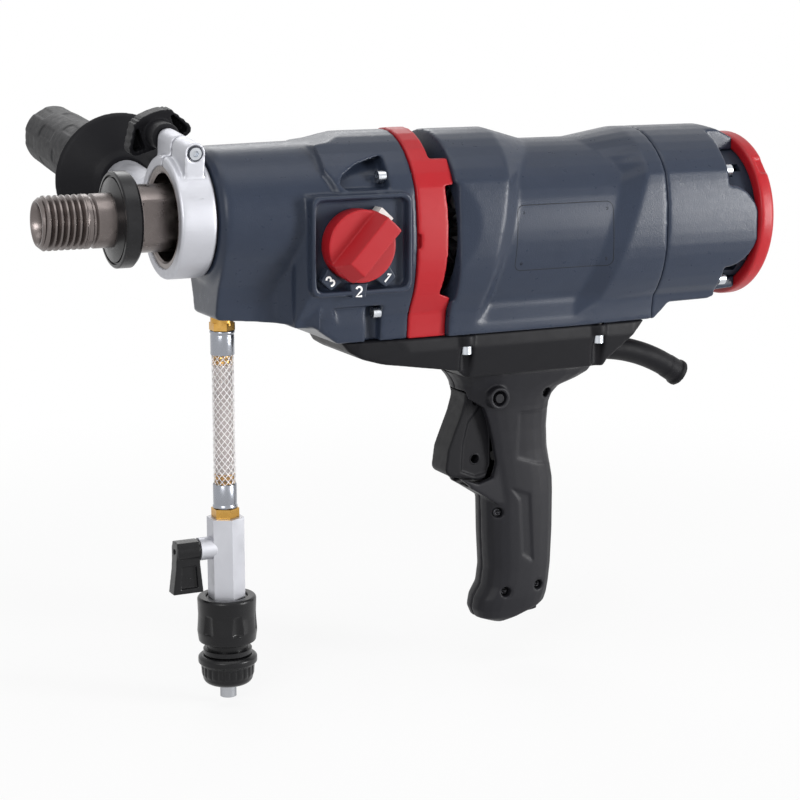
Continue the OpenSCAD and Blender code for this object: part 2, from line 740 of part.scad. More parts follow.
module handle_left() {
    color(black) difference() {
        union() {
            grip_shell(-1);
            trigger_beak();
            cyl_y(-26, -19, 7.2, lock_at[0], lock_at[1]);
        }
        cyl_y(-40, -trigger_half, lock_d / 2 + 0.3, lock_at[0], lock_at[1]);
        cyl_y(-40, -21, 4.8, lock_at[0], lock_at[1]);
        handle_holes(-1);
    }
}
module handle_right() {
    color(black) difference() {
        union() {
            grip_shell(1);
            mirror([0, 1, 0]) trigger_beak();
        }
        handle_holes(1);
    }
}
module handle_holes(side) {
    for (p = [[219.2, -199.7], [224.4, -253], [251.2, -122.4], [248.3, -250.9]])
        cyl_y(side < 0 ? -40 : 10, side < 0 ? -10 : 40, 3.2, p[0], p[1]);
}

module switch_body() {
    color(black) {
        box([230, 254], [-trigger_half - 0.1, trigger_half + 0.1], [-176, -116]);
        cyl_x(221.6, 231, 3, z = -165);
    }
}

// Bend of the cord sleeve: a quarter-turn pipe cut to the angle it needs
bend_r = 115;
bend_at = [294, -99.6 - bend_r];
bend_a0 = 58;
bend_a1 = 88;
module cord_bend(r) {
    reach = 1.6 * bend_r;
    intersection() {
        translate([bend_at[0], 0, bend_at[1]]) rotate([90, 0, 0])
            rotate_extrude() translate([bend_r, 0]) circle(r);
        along_y(-30, 30) polygon([
            bend_at, bend_at + reach * [cos(bend_a0), sin(bend_a0)], bend_at + reach * [cos(bend_a1),
                sin(bend_a1)]]);
    }
}
module cord_end() {
    translate([bend_at[0], 0, bend_at[1]]) rotate([0, 90 - bend_a0, 0])
        translate([0, 0, bend_r]) rotate([0, 90, 0]) children();
}
module cord_sleeve() {
    color(black) difference() {
        union() {
            cord_bend(sleeve_d / 2);
            cord_end() translate([0, 0, -2]) cylinder(h = 12, r = sleeve_d / 2 + 0.3);
            cord_end() translate([0, 0, 6.5]) cylinder(h = 3.5, r = sleeve_d / 2 + 1.2);
        }
        cord_end() translate([0, 0, -0.5]) cylinder(h = 12, r = cord_bore_d / 2);
        cord_channel();
    }
}
// The cord's way through the bend, bored in straight steps
module cord_channel(steps = 3) {
    step = (bend_a1 - bend_a0) / steps;
    chord = 2 * bend_r * sin(step / 2);
    for (i = [0:steps - 1]) let (a = bend_a0 + i * step)
        translate([bend_at[0] + bend_r * cos(a), 0, bend_at[1] + bend_r * sin(a)])
            rotate([0, -a - step / 2, 0]) translate([0, 0, -1]) cylinder(h = chord + 2,
                r = cord_bore_d / 2 - 0.4);
}

module hex_z(z0, z1, af) {
    translate([feed_x, 0, z0]) rotate([0, 0, 30]) cylinder(h = z1 - z0, r = af / 2 / cos(30), $fn = 6);
}

module water_fitting() {
    color(brass) difference() {
        union() {
            cyl_z(hose_z0 + 3, -61.2, 7);
            hex_z(hose_z0, hose_z0 + 4.6, 13.6);
            cyl_z(-61.5, -48, 6.6);
        }
        cyl_z(hose_z0 - 1, -47, 3.5);
    }
}

// Hose as a swept tube along its route
hose_route = [for (i = [0:4]) [feed_x, 0, hose_z0 + (hose_z1 - hose_z0) * i / 4]];
module hose() {
    sides = 12;
    color([0.8, 0.8, 0.78]) loft([for (p = hose_route)
        [for (i = [0:sides - 1]) let (a = 360 * i / sides) [p[0] + hose_d / 2 * cos(a),
            p[1] + hose_d / 2 * sin(a), p[2]]]]);
}
module hose_ferrules() {
    color(alu) for (z = [hose_z0 - hose_ends, hose_z1 + 0.2]) difference() {
        cyl_z(z, z + hose_ends - 0.2, hose_d / 2 + 0.9);
        cyl_z(z - 1, z + hose_ends + 1, hose_d / 2 + running);
    }
}
module hose_nut() {
    color(brass) difference() {
        union() {
            hex_z(hose_z1 - 5.7, hose_z1, 15);
            cyl_z(hose_z1 - 12, hose_z1 - 5, 5.5);
        }
        cyl_z(hose_z1 - 13, hose_z1 + 1, 3.2);
    }
}

valve_z0 = hose_z1 - 5.8;
valve_z1 = valve_z0 - valve_len;
module valve_body() {
    color(alu) difference() {
        union() {
            hex_z(valve_z1, valve_z0, valve_af);
            cyl_x(19, feed_x, 7, z = stem_z);
            cyl_z(valve_z1 - 10, valve_z1 + 1, 8);
        }
        cyl_z(valve_z0 - 7, valve_z0 + 1, 5.5 + running);
        cyl_z(valve_z1 - 11, valve_z0, 3.6);
        translate([feed_x, 0, stem_z]) sphere(7 + running);
        cyl_x(18, feed_x, 3 + running, z = stem_z);
    }
}
module valve_ball() {
    color(steel) difference() {
        union() {
            translate([feed_x, 0, stem_z]) sphere(7);
            cyl_x(9, feed_x - 5, 3, z = stem_z);
        }
        cyl_z(stem_z - 9, stem_z + 9, 3.4);
    }
}
module valve_lever() {
    color(black) difference() {
        union() {
            cyl_x(4, 18.6, 6.4, z = stem_z);
            along_y(-4.6, 4.6) polygon([[4, stem_z + 6], [18.6, stem_z + 6], [18.6, -211],
                [20.4, -229], [1, -229], [3, -214]]);
        }
        cyl_x(8.9, 20, 3 + running, z = stem_z);
        cyl_x(0, 10, 1.7, z = stem_z);
        along_y(-10, -2.4) polygon([[7, -212], [16, -212], [17, -226], [6, -226]]);
    }
}

coupling_z0 = valve_z1 + 1;
tail_r = 5;
module coupling_body() {
    color([0.6, 0.61, 0.63]) difference() {
        translate([feed_x, 0, 0]) rotate_extrude() polygon([
            [8 + running, valve_z1 - 0.3], [12.5, valve_z1 - 0.3], [12.5, -267.6], [15, -267.8],
                [15, -270.6],
            [11, -271], [11, -288], [4.6, -289], [4.6, -290.4], [tail_r, -290.6], [tail_r, -299],
            [2.6, -299], [2.6, valve_z1 - 10.4], [8 + running, valve_z1 - 10.4]]);
        cyl_z(-310, -240, 2.6);
    }
}
module coupling_sleeve() {
    r = coupling_d / 2;
    color(black) difference() {
        translate([feed_x, 0, 0]) rotate_extrude() polygon([
            [12.8, coupling_z0], [r - 1, coupling_z0], [r, coupling_z0 - 1.4], [r - 0.4, -246],
            [r + 0.3, -256], [r - 0.6, -262.6], [15.6, -263.4], [12.8, -262]]);
        for (a = [0:60:300]) translate([feed_x, 0, 0]) rotate([0, 0, a + 30]) translate([r + 5.2, 0, -256])
            cylinder(h = 12, r = 6.4);
    }
}
module coupling_nut() {
    color(black) difference() {
        translate([feed_x, 0, 0]) rotate_extrude() polygon(concat(
            [[11 + running, -271.4], [16.4, -271.4], [18.2, -273], [18.2, -276.4], [16.6, -277.5]],
            [[16.2, -284]], arc([11, -285.5], 4.6, 0, -80, 4),
            [[tail_r + 0.1, -290.2], [tail_r + 0.1, -289.3], [11 + running, -288.3]]));
        for (a = [0:15:345]) translate([feed_x, 0, 0]) rotate([0, 0, a]) box([15.8, 18], [-0.9, 0.9],
            [-286, -278]);
    }
}

module spindle() {
    tip = -spindle_reach;
    color(steel) difference() {
        revolve_x([
            [0, tip], [thread_r - 2.4, tip], [thread_r, tip + 3.2], [thread_r, tip + thread_len - 2.4],
            [thread_r - 1.6, tip + thread_len - 1.4], [thread_r - 1.6, tip + thread_len - 0.2],
            [thread_r, tip + thread_len + 1.4], [thread_r, ring_x1], [shaft_r, ring_x1], [shaft_r, 67],
            [gear_seat_r, 67], [gear_seat_r, mid_x - 0.2], [spindle_tail_r, mid_x - 0.2],
            [spindle_tail_r, mid_x + 10], [0, mid_x + 10]]);
        cyl_x(tip - 1, tip + 5, 12, r2 = socket_d / 2);
        cyl_x(tip - 1, tip + socket_len, socket_d / 2);
        cyl_x(tip, 42, 5);
        for (a = [0, 90]) translate([feed_x, 0, 0]) rotate([a, 0, 0]) cylinder(h = 60, r = 2.5,
            center = true);
        both_sides() box([-16.5, 12], [-40, -flats_w / 2], [-40, 40]);
    }
}
module slip_ring() {
    r = slip_ring_d / 2;
    color(black) revolve_x([
        [thread_r + running, ring_x0], [17.4, ring_x0], [r - 3.6, ring_x0 + 1.9], [r - 3.3, ring_x0 + 3],
        [r - 2.6, ring_x0 + 3], [r - 2.2, ring_x0 + 1.8], [r - 0.8, ring_x0 + 2], [r, ring_x0 + 2.8],
        [r, ring_x1 - 1.8], [r - 1.8, ring_x1], [thread_r + running, ring_x1]]);
}
module spindle_gears() {
    color(steel) for (i = [0:2])
        gear(pair_teeth - drive_teeth[i], gear_m, gear_x[i], gear_w, gear_seat_r + running, -90);
}

module at_counter() {
    translate([0, 0, counter_z]) children();
}
module countershaft() {
    color(steel) at_counter() difference() {
        cyl_x(72, 157, counter_r);
        cyl_x(79, 130, 3.3);
        box([collar_x - 2, collar_x + shift_travel + 2], [-20, 20], [-1.7, 1.7]);
        box([key_x - 2.6, key_x + shift_travel + 2.6], [-1.7, 1.7], [0, 20]);
    }
}
module input_gear() {
    color(steel) at_counter() gear(input_teeth, input_m, input_x, 8, counter_r + running, 90, gap = true);
}
module drive_gear(i) {
    color(steel) at_counter()
        gear(drive_teeth[i], gear_m, gear_x[i], gear_w, counter_r + running, 90, gap = true, keyway = 7.5);
}
module drive_gear_1() drive_gear(0);
module drive_gear_2() drive_gear(1);
module drive_gear_3() drive_gear(2);

module draw_key() {
    color(brass) at_counter() {
        difference() {
            union() {
                ring_x(collar_x - 3, collar_x + 3, counter_r + running, 10.5);
                cyl_y(-7, 7, 1.4, collar_x, 0);
                cyl_x(collar_x - 2, key_x + 2, 3);
                box([key_x - 2, key_x + 2], [-1.4, 1.4], [0, 7.2]);
            }
            ring_x(collar_x - 1.5, collar_x + 1.5, 8, 12);
        }
    }
}

rail_at = [-30, counter_z + 4];
module shift_fork() {
    pin_x = knob_x - shift_travel / 2;
    color(steel) difference() {
        union() {
            // fork blade around the collar groove
            along_x(collar_x - 1.2, collar_x + 1.2) difference() {
                polygon([[-34, -34], [-8, -34], [3, -34], [3, -55], [-12, -55], [-34, -46]]);
                translate([0, counter_z]) circle(8.3);
                translate([0, counter_z - 8.3]) square([20, 16.6]);
            }
            cyl_x(collar_x - 1.2, collar_x + 16, 4.4, rail_at[0], rail_at[1]);
            along_y(-33.5, -28.5) polygon([
                [collar_x - 1.2, -36.5], [pin_x + 8, -36.5], [pin_x + 8, -20], [pin_x - 8, -20],
                    [collar_x - 1.2, -33]]);
        }
        cyl_x(70, 130, screw_r + running, rail_at[0], rail_at[1]);
        along_y(-40, -20) rounded_rect(pin_x - 3, pin_x + 3, -34, -22, 2.8);
    }
}
module shift_rail() {
    color(steel) cyl_x(73.2, mid_x + 3.6, screw_r, rail_at[0], rail_at[1]);
}

module at_knob(angle = 0) {
    translate([knob_x, 0, knob_z]) rotate([90, 0, 0]) rotate([0, 0, angle]) children();
}
// The knob's pointer is drawn along -Y of its own plane and turned to speed 3
module selector_knob() {
    r = knob_d / 2;
    face = -recess_y + 8;
    color(red) at_knob(-knob_turn / 2) difference() {
        union() {
            translate([0, 0, -recess_y + 0.4]) cylinder(h = 12, r = knob_d / 2);
            intersection() {
                translate([0, r - 0.6, 0]) rotate([90, 0, 0]) linear_extrude(2 * r - 1.2) polygon([
                    [-9.8, face], [-3.6, face + 15], [8.6, face + 15], [9.4, face]]);
                translate([0, 0, face - 1]) cylinder(h = 20, r = r + 0.6);
            }
        }
        translate([0, 0, -recess_y - 1]) cylinder(h = 12, r = 4 + running);
        translate([-5.4, 8, -recess_y]) cube([10.8, 30, 11]);
        // bevel at the pointer's tip
        translate([-20, 0, 0]) rotate([90, 0, 90]) linear_extrude(40) polygon([
            [-r - 2, face + 2.5], [-r + 7.5, face + 16], [-r - 2, face + 16]]);
    }
}
module selector_release() {
    color(alu) at_knob(-knob_turn / 2)
        translate([-5, 11.2, -recess_y + 0.6]) cube([10, knob_d / 2 - 7.4, 9.6]);
}
module selector_shaft() {
    color(steel) at_knob(-knob_turn / 2) {
        translate([0, 0, 39.6]) cylinder(h = -recess_y - 39.6 + 0.2, r = 6);
        translate([0, 0, -recess_y]) cylinder(h = 10, r = 4);
        difference() {
            translate([0, 0, 36.4]) cylinder(h = 3.3, r = 16.5);
            translate([-30, 4, 30]) cube([60, 30, 20]);
        }
        translate([0, -shift_pin_r, 28]) cylinder(h = 9, r = 2.5);
    }
}

module armature_shaft() {
    color(steel) translate([0, 0, motor_z]) {
        cyl_x(150.5, 326, 6);
        cyl_x(326, 341, 5);
        gear(pinion_teeth, input_m, input_x, 8, 0.5, -90);
    }
}
module armature_core() {
    color(steel) translate([0, 0, motor_z]) difference() {
        cyl_x(200, 262, armature_d / 2);
        cyl_x(199, 263, 6 + running);
        for (i = [0:11]) rotate([i * 30, 0, 0]) box([199, 263], [-1.5, 1.5],
            [armature_d / 2 - 6, armature_d]);
    }
}
module commutator() {
    color(brass) translate([0, 0, motor_z]) difference() {
        union() {
            cyl_x(290, 312, 17);
            cyl_x(286, 290, 19);
        }
        cyl_x(285, 313, 6 + running);
        for (i = [0:23]) rotate([i * 15, 0, 0]) box([284, 314], [-0.3, 0.3], [15.6, 22]);
    }
}
module cooling_fan() {
    color(black) translate([0, 0, motor_z]) difference() {
        union() {
            cyl_x(163, 166, 39);
            cyl_x(163, 182, 12);
            for (i = [0:10]) rotate([i * 360 / 11, 0, 0]) translate([0, -1, 0])
                box([165, 178], [-1.2, 1.2], [11, 38]);
        }
        cyl_x(160, 190, 6 + running);
    }
}

module trigger() {
    color(black) difference() {
        along_y(-trigger_half, trigger_half) polygon(concat(
            [[196.2, -119.6], [208, -119.6], [211, -130], [214.8, -150], [214.8, -168], [211, -176.6],
                [206, -177.6]],
            arc([187.8, -168.4], 5.2, 250, 185, 3), [[184.4, -156], [188.8, -145], [193.4, -134],
            [196, -125]]));
        cyl_y(-20, -trigger_half + 8, 2.9, 203.8, -163.4);
        cyl_y(-20, 20, 2, pivot[0], pivot[1]);
        cyl_y(-20, -trigger_half + 1.2, lock_d / 2 + 1, lock_at[0], lock_at[1]);
    }
}
module lock_button() {
    color(black) cyl_y(-25.6, -trigger_half - 4.6, lock_d / 2, lock_at[0], lock_at[1]);
}

// Side handle pieces are drawn upright and tilted together about the spindle axis
module at_clamp() {
    rotate([clamp_tilt, 0, 0]) children();
}
module clamp_ring() {
    r_out = neck_r + clamp_wall;
    color(alu) at_clamp() difference() {
        union() {
            revolve_x(concat(
                [[neck_r - 2, 0], [r_out - 1.2, 0], [r_out, 1.2], [r_out, clamp_w - 1.2],
                    [r_out - 1.2, clamp_w], [neck_r - 2, clamp_w]]));
            along_y(-lug_len, lug_len) {
                translate([lug_x, bolt_h]) circle(lug_w / 2);
                translate([lug_x - lug_w / 2, 25.6]) square([lug_w, bolt_h - 25.6]);
            }
            handle_arm();
        }
        cyl_x(-1, clamp_w + 1, neck_r + running);
        box([-1, clamp_w + 5], [-1.2, 1.2], [20, 60]);
        cyl_y(-lug_len - 1, lug_len + 1, 3.1, lug_x, bolt_h);
        cyl_y(-lug_len - 1, -lug_len + 3, 4.7, lug_x, bolt_h);
    }
}
module handle_arm() {
    r = arm_d / 2;
    revolve_y([[0, 31], [r - 3.2, 31], [r - 3.2, 45], [r, 52], [r, arm_len], [8, arm_len],
        [8, arm_len + 120], [0, arm_len + 120]], lug_x);
}
module clamp_bolt() {
    color(steel) at_clamp() difference() {
        union() {
            cyl_y(-lug_len - 0.4, -lug_len + 2.8, 3.6, lug_x, bolt_h);
            cyl_y(-lug_len + 2, lug_len + 18, 3, lug_x, bolt_h);
        }
        translate([lug_x, -lug_len + 1.6, bolt_h]) rotate([90, 0, 0]) cylinder(h = 4, r = 2.1, $fn = 6);
    }
}
module wing_knob() {
    s = wing_span / 2;
    y0 = lug_len + 0.4;
    color(black) at_clamp() difference() {
        union() {
            revolve_y([[0, y0], [7.4, y0], [8.6, y0 + 1.4], [8.6, y0 + 14], [10, y0 + 17],
                [10, y0 + 26], [0, y0 + 27]], lug_x, bolt_h);
            along_y(y0 + 15, y0 + 26) translate([lug_x, bolt_h]) rotate(20) polygon(concat(
                [[0, -9], [s - 4, -8]], arc([s - 4, -4], 4, -90, 30, 3), [[12, 10.6], [6, 12.6], [0, 13]],
                [[-6, 12.6], [-12, 10.6]], arc([4 - s, -4], 4, 150, 270, 3)));
        }
        cyl_y(y0 - 1, y0 + 18.6, 3 + running, lug_x, bolt_h);
        along_y(y0 + 10, y0 + 23) translate([lug_x, bolt_h]) rotate(20) for (k = [-1, 1])
            polygon([[k * 10.5, -6], [k * (s - 3.4), -5.4], [k * (s - 2.6), -3], [k * 12.4, 7],
                [k * 10.5, 7]]);
    }
}
module hand_guard() {
    r = guard_d / 2;
    color(black) at_clamp() revolve_y([
        [8 + running, arm_len + 0.1], [arm_d / 2 + 2, arm_len + 0.1], [arm_d / 2 + 6, arm_len + 3],
            [r - 2, arm_len + 12], [r, arm_len + 14],
        [r - 0.6, arm_len + 15.6], [r - 3, arm_len + 15.4], [arm_d / 2 + 5, arm_len + 7.4],
            [arm_d / 2, arm_len + 10], [8 + running, arm_len + 10]], lug_x);
}
module side_grip() {
    r = grip_d / 2;
    y0 = arm_len + 10.2;
    y1 = y0 + grip_len;
    color(black) at_clamp() revolve_y(concat(
        [[8 + running, y0], [r - 2.6, y0], [r - 0.6, y0 + 14], [r, y0 + 60], [r - 0.8, y1 - 12]],
        arc([r - 10.8, y1 - 10], 10, 0, 90, 5), [[0, y1], [0, y1 - 25], [8 + running, y1 - 25]]), lug_x);
}

gear_housing();
neck_sleeve();
spindle_seals();
spindle_bearings();
mid_plate();
gear_plate();
countershaft_bearings();
armature_bearings();
vent_ring();
motor_housing();
rear_cover();
intake_drum();
rear_ring();
gearbox_screws();
rear_screws();
base_screws();
stator();
brush_holders();
carbon_brushes();
handle_base();
handle_left();
handle_right();
switch_body();
cord_sleeve();
water_fitting();
hose();
hose_ferrules();
hose_nut();
valve_body();
valve_ball();
valve_lever();
coupling_body();
coupling_sleeve();
coupling_nut();
spindle();
slip_ring();
spindle_gears();
countershaft();
input_gear();
drive_gear_1();
drive_gear_2();
drive_gear_3();
draw_key();
shift_fork();
shift_rail();
selector_knob();
selector_shaft();
selector_release();
armature_shaft();
armature_core();
commutator();
cooling_fan();
trigger();
lock_button();
clamp_ring();
clamp_bolt();
wing_knob();
hand_guard();
side_grip();
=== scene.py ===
import json
import math
import bpy
import bmesh
import numpy as np
from mathutils import Matrix, Vector
from mathutils.bvhtree import BVHTree


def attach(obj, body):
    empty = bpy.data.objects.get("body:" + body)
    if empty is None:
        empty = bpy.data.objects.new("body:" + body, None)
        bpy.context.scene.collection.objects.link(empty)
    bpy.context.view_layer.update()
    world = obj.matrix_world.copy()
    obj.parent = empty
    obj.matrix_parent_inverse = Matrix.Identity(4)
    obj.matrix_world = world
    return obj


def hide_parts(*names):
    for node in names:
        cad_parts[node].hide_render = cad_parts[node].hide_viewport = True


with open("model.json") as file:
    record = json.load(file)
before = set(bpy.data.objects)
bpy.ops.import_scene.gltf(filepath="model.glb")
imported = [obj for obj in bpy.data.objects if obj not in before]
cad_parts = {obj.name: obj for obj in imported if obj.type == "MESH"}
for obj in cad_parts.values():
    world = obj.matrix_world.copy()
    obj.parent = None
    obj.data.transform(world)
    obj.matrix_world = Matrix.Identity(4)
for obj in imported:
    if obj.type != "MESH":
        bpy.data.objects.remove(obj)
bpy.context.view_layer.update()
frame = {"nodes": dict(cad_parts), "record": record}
nodes = frame["nodes"]
record = frame["record"]
scene = bpy.context.scene
mm = 0.001

bodyOfNode = {}
for bodyName, members in record["behaviour"]["bodies"].items():
    for member in members:
        bodyOfNode[member] = bodyName
slotOfNode = {s["node"]: s["material_slot"] for s in record["subparts"]}
print("frame loaded:", len(nodes), "nodes")

# camera worked out from the round edges of the neck and the upright hose
cameraSet = {"place": (-0.39196, -1.12961, 0.13091), "pitch": 11.412, "yaw": 25.85, "lens": 91.6,
             "sensor": 36, "near": 0.05, "far": 400}


def placeCamera():
    data = bpy.data.cameras.new("photoCamera")
    data.lens = cameraSet["lens"]
    data.sensor_width = cameraSet["sensor"]
    data.clip_start = cameraSet["near"]
    data.clip_end = cameraSet["far"]
    camera = bpy.data.objects.new("photoCamera", data)
    camera.location = cameraSet["place"]
    camera.rotation_euler = (math.radians(90 - cameraSet["pitch"]), 0, math.radians(-cameraSet["yaw"]))
    scene.collection.objects.link(camera)
    scene.camera = camera


placeCamera()
scene.view_settings.view_transform = "Standard"

studioSet = {
    "floorZ": -0.303,
    "floorSpan": 160,
    "floorColor": (0.9, 0.9, 0.9),
    "floorWhite": 0.88,
    "floorMiddle": (0.15, 0, -0.303),
    "floorNear": 0.35,
    "floorFar": 0.9,
    "worldLight": 0.2,
    "lamps": [
        # name, place, aims at, size x, size y, power
        ("topSoftbox", (0.05, -0.25, 1.3), (0.15, 0, 0), 1.7, 0.8, 8),
        ("frontSoftbox", (-1.2, -1.4, 0.6), (0.1, 0, -0.05), 0.9, 0.9, 18),
        ("sideSoftbox", (1.45, -1.25, 0.05), (0.3, 0, -0.02), 0.45, 0.9, 36),
        ("backSoftbox", (0.3, 1.3, 0.9), (0.1, 0, 0), 1.2, 0.6, 6),
    ],
}


# what the eye, a mirror or a glass sees is plain white, and only soft light reaches dull surfaces
def seenDirectly(tree):
    path = tree.nodes.new("ShaderNodeLightPath")
    seen = path.outputs["Is Camera Ray"]
    for ray in ("Is Glossy Ray", "Is Transmission Ray"):
        either = tree.nodes.new("ShaderNodeMath")
        either.operation = "MAXIMUM"
        tree.links.new(seen, either.inputs[0])
        tree.links.new(path.outputs[ray], either.inputs[1])
        seen = either.outputs[0]
    return seen


def lightStudio():
    for name, place, aim, sizeX, sizeY, power in studioSet["lamps"]:
        data = bpy.data.lights.new(name, "AREA")
        data.shape = "RECTANGLE"
        data.size = sizeX
        data.size_y = sizeY
        data.energy = power
        lamp = bpy.data.objects.new(name, data)
        lamp.location = place
        lamp.rotation_euler = (Vector(aim) - Vector(place)).to_track_quat("-Z", "Y").to_euler()
        scene.collection.objects.link(lamp)
    world = bpy.data.worlds.new("studioWorld")
    scene.world = world
    world.use_nodes = True
    tree = world.node_tree
    tree.nodes.clear()
    out = tree.nodes.new("ShaderNodeOutputWorld")
    soft = tree.nodes.new("ShaderNodeBackground")
    soft.inputs["Color"].default_value = (1, 1, 1, 1)
    soft.inputs["Strength"].default_value = studioSet["worldLight"]
    white = tree.nodes.new("ShaderNodeBackground")
    white.inputs["Color"].default_value = (1, 1, 1, 1)
    white.inputs["Strength"].default_value = 1
    mix = tree.nodes.new("ShaderNodeMixShader")
    tree.links.new(seenDirectly(tree), mix.inputs[0])
    tree.links.new(soft.outputs[0], mix.inputs[1])
    tree.links.new(white.outputs[0], mix.inputs[2])
    tree.links.new(mix.outputs[0], out.inputs["Surface"])


def layFloor():
    mesh = bpy.data.meshes.new("studioFloor")
    s, z = studioSet["floorSpan"], studioSet["floorZ"]
    mesh.from_pydata([(-s, -s, z), (s, -s, z), (s, s, z), (-s, s, z)], [], [(0, 1, 2, 3)])
    floor = bpy.data.objects.new("studioFloor", mesh)
    scene.collection.objects.link(floor)
    paper = bpy.data.materials.new("paperFloor")
    paper.use_nodes = True
    tree = paper.node_tree
    tree.nodes.clear()
    out = tree.nodes.new("ShaderNodeOutputMaterial")
    lit = tree.nodes.new("ShaderNodeBsdfDiffuse")
    lit.inputs["Color"].default_value = (*studioSet["floorColor"], 1)
    glow = tree.nodes.new("ShaderNodeEmission")
    glow.inputs["Color"].default_value = (1, 1, 1, 1)
    spot = tree.nodes.new("ShaderNodeTexCoord")
    reach = tree.nodes.new("ShaderNodeVectorMath")
    reach.operation = "DISTANCE"
    reach.inputs[1].default_value = studioSet["floorMiddle"]
    fade = tree.nodes.new("ShaderNodeMapRange")
    fade.interpolation_type = "SMOOTHSTEP"
    fade.inputs["From Min"].default_value = studioSet["floorNear"]
    fade.inputs["From Max"].default_value = studioSet["floorFar"]
    fade.inputs["To Min"].default_value = studioSet["floorWhite"]
    fade.inputs["To Max"].default_value = 1
    tree.links.new(spot.outputs["Object"], reach.inputs[0])
    tree.links.new(reach.outputs["Value"], fade.inputs["Value"])
    share = tree.nodes.new("ShaderNodeMath")
    share.operation = "MULTIPLY"
    tree.links.new(fade.outputs["Result"], share.inputs[1])
    mix = tree.nodes.new("ShaderNodeMixShader")
    tree.links.new(seenDirectly(tree), share.inputs[0])
    tree.links.new(share.outputs[0], mix.inputs[0])
    tree.links.new(lit.outputs[0], mix.inputs[1])
    tree.links.new(glow.outputs[0], mix.inputs[2])
    tree.links.new(mix.outputs[0], out.inputs["Surface"])
    mesh.materials.append(paper)


lightStudio()
layFloor()
print("studio set")


# screen colour to light, by the usual curve
def linear(rgb):
    shares = (v / 255 for v in rgb)
    return tuple((c / 12.92 if c <= 0.04045 else ((c + 0.055) / 1.055) ** 2.4) for c in shares)


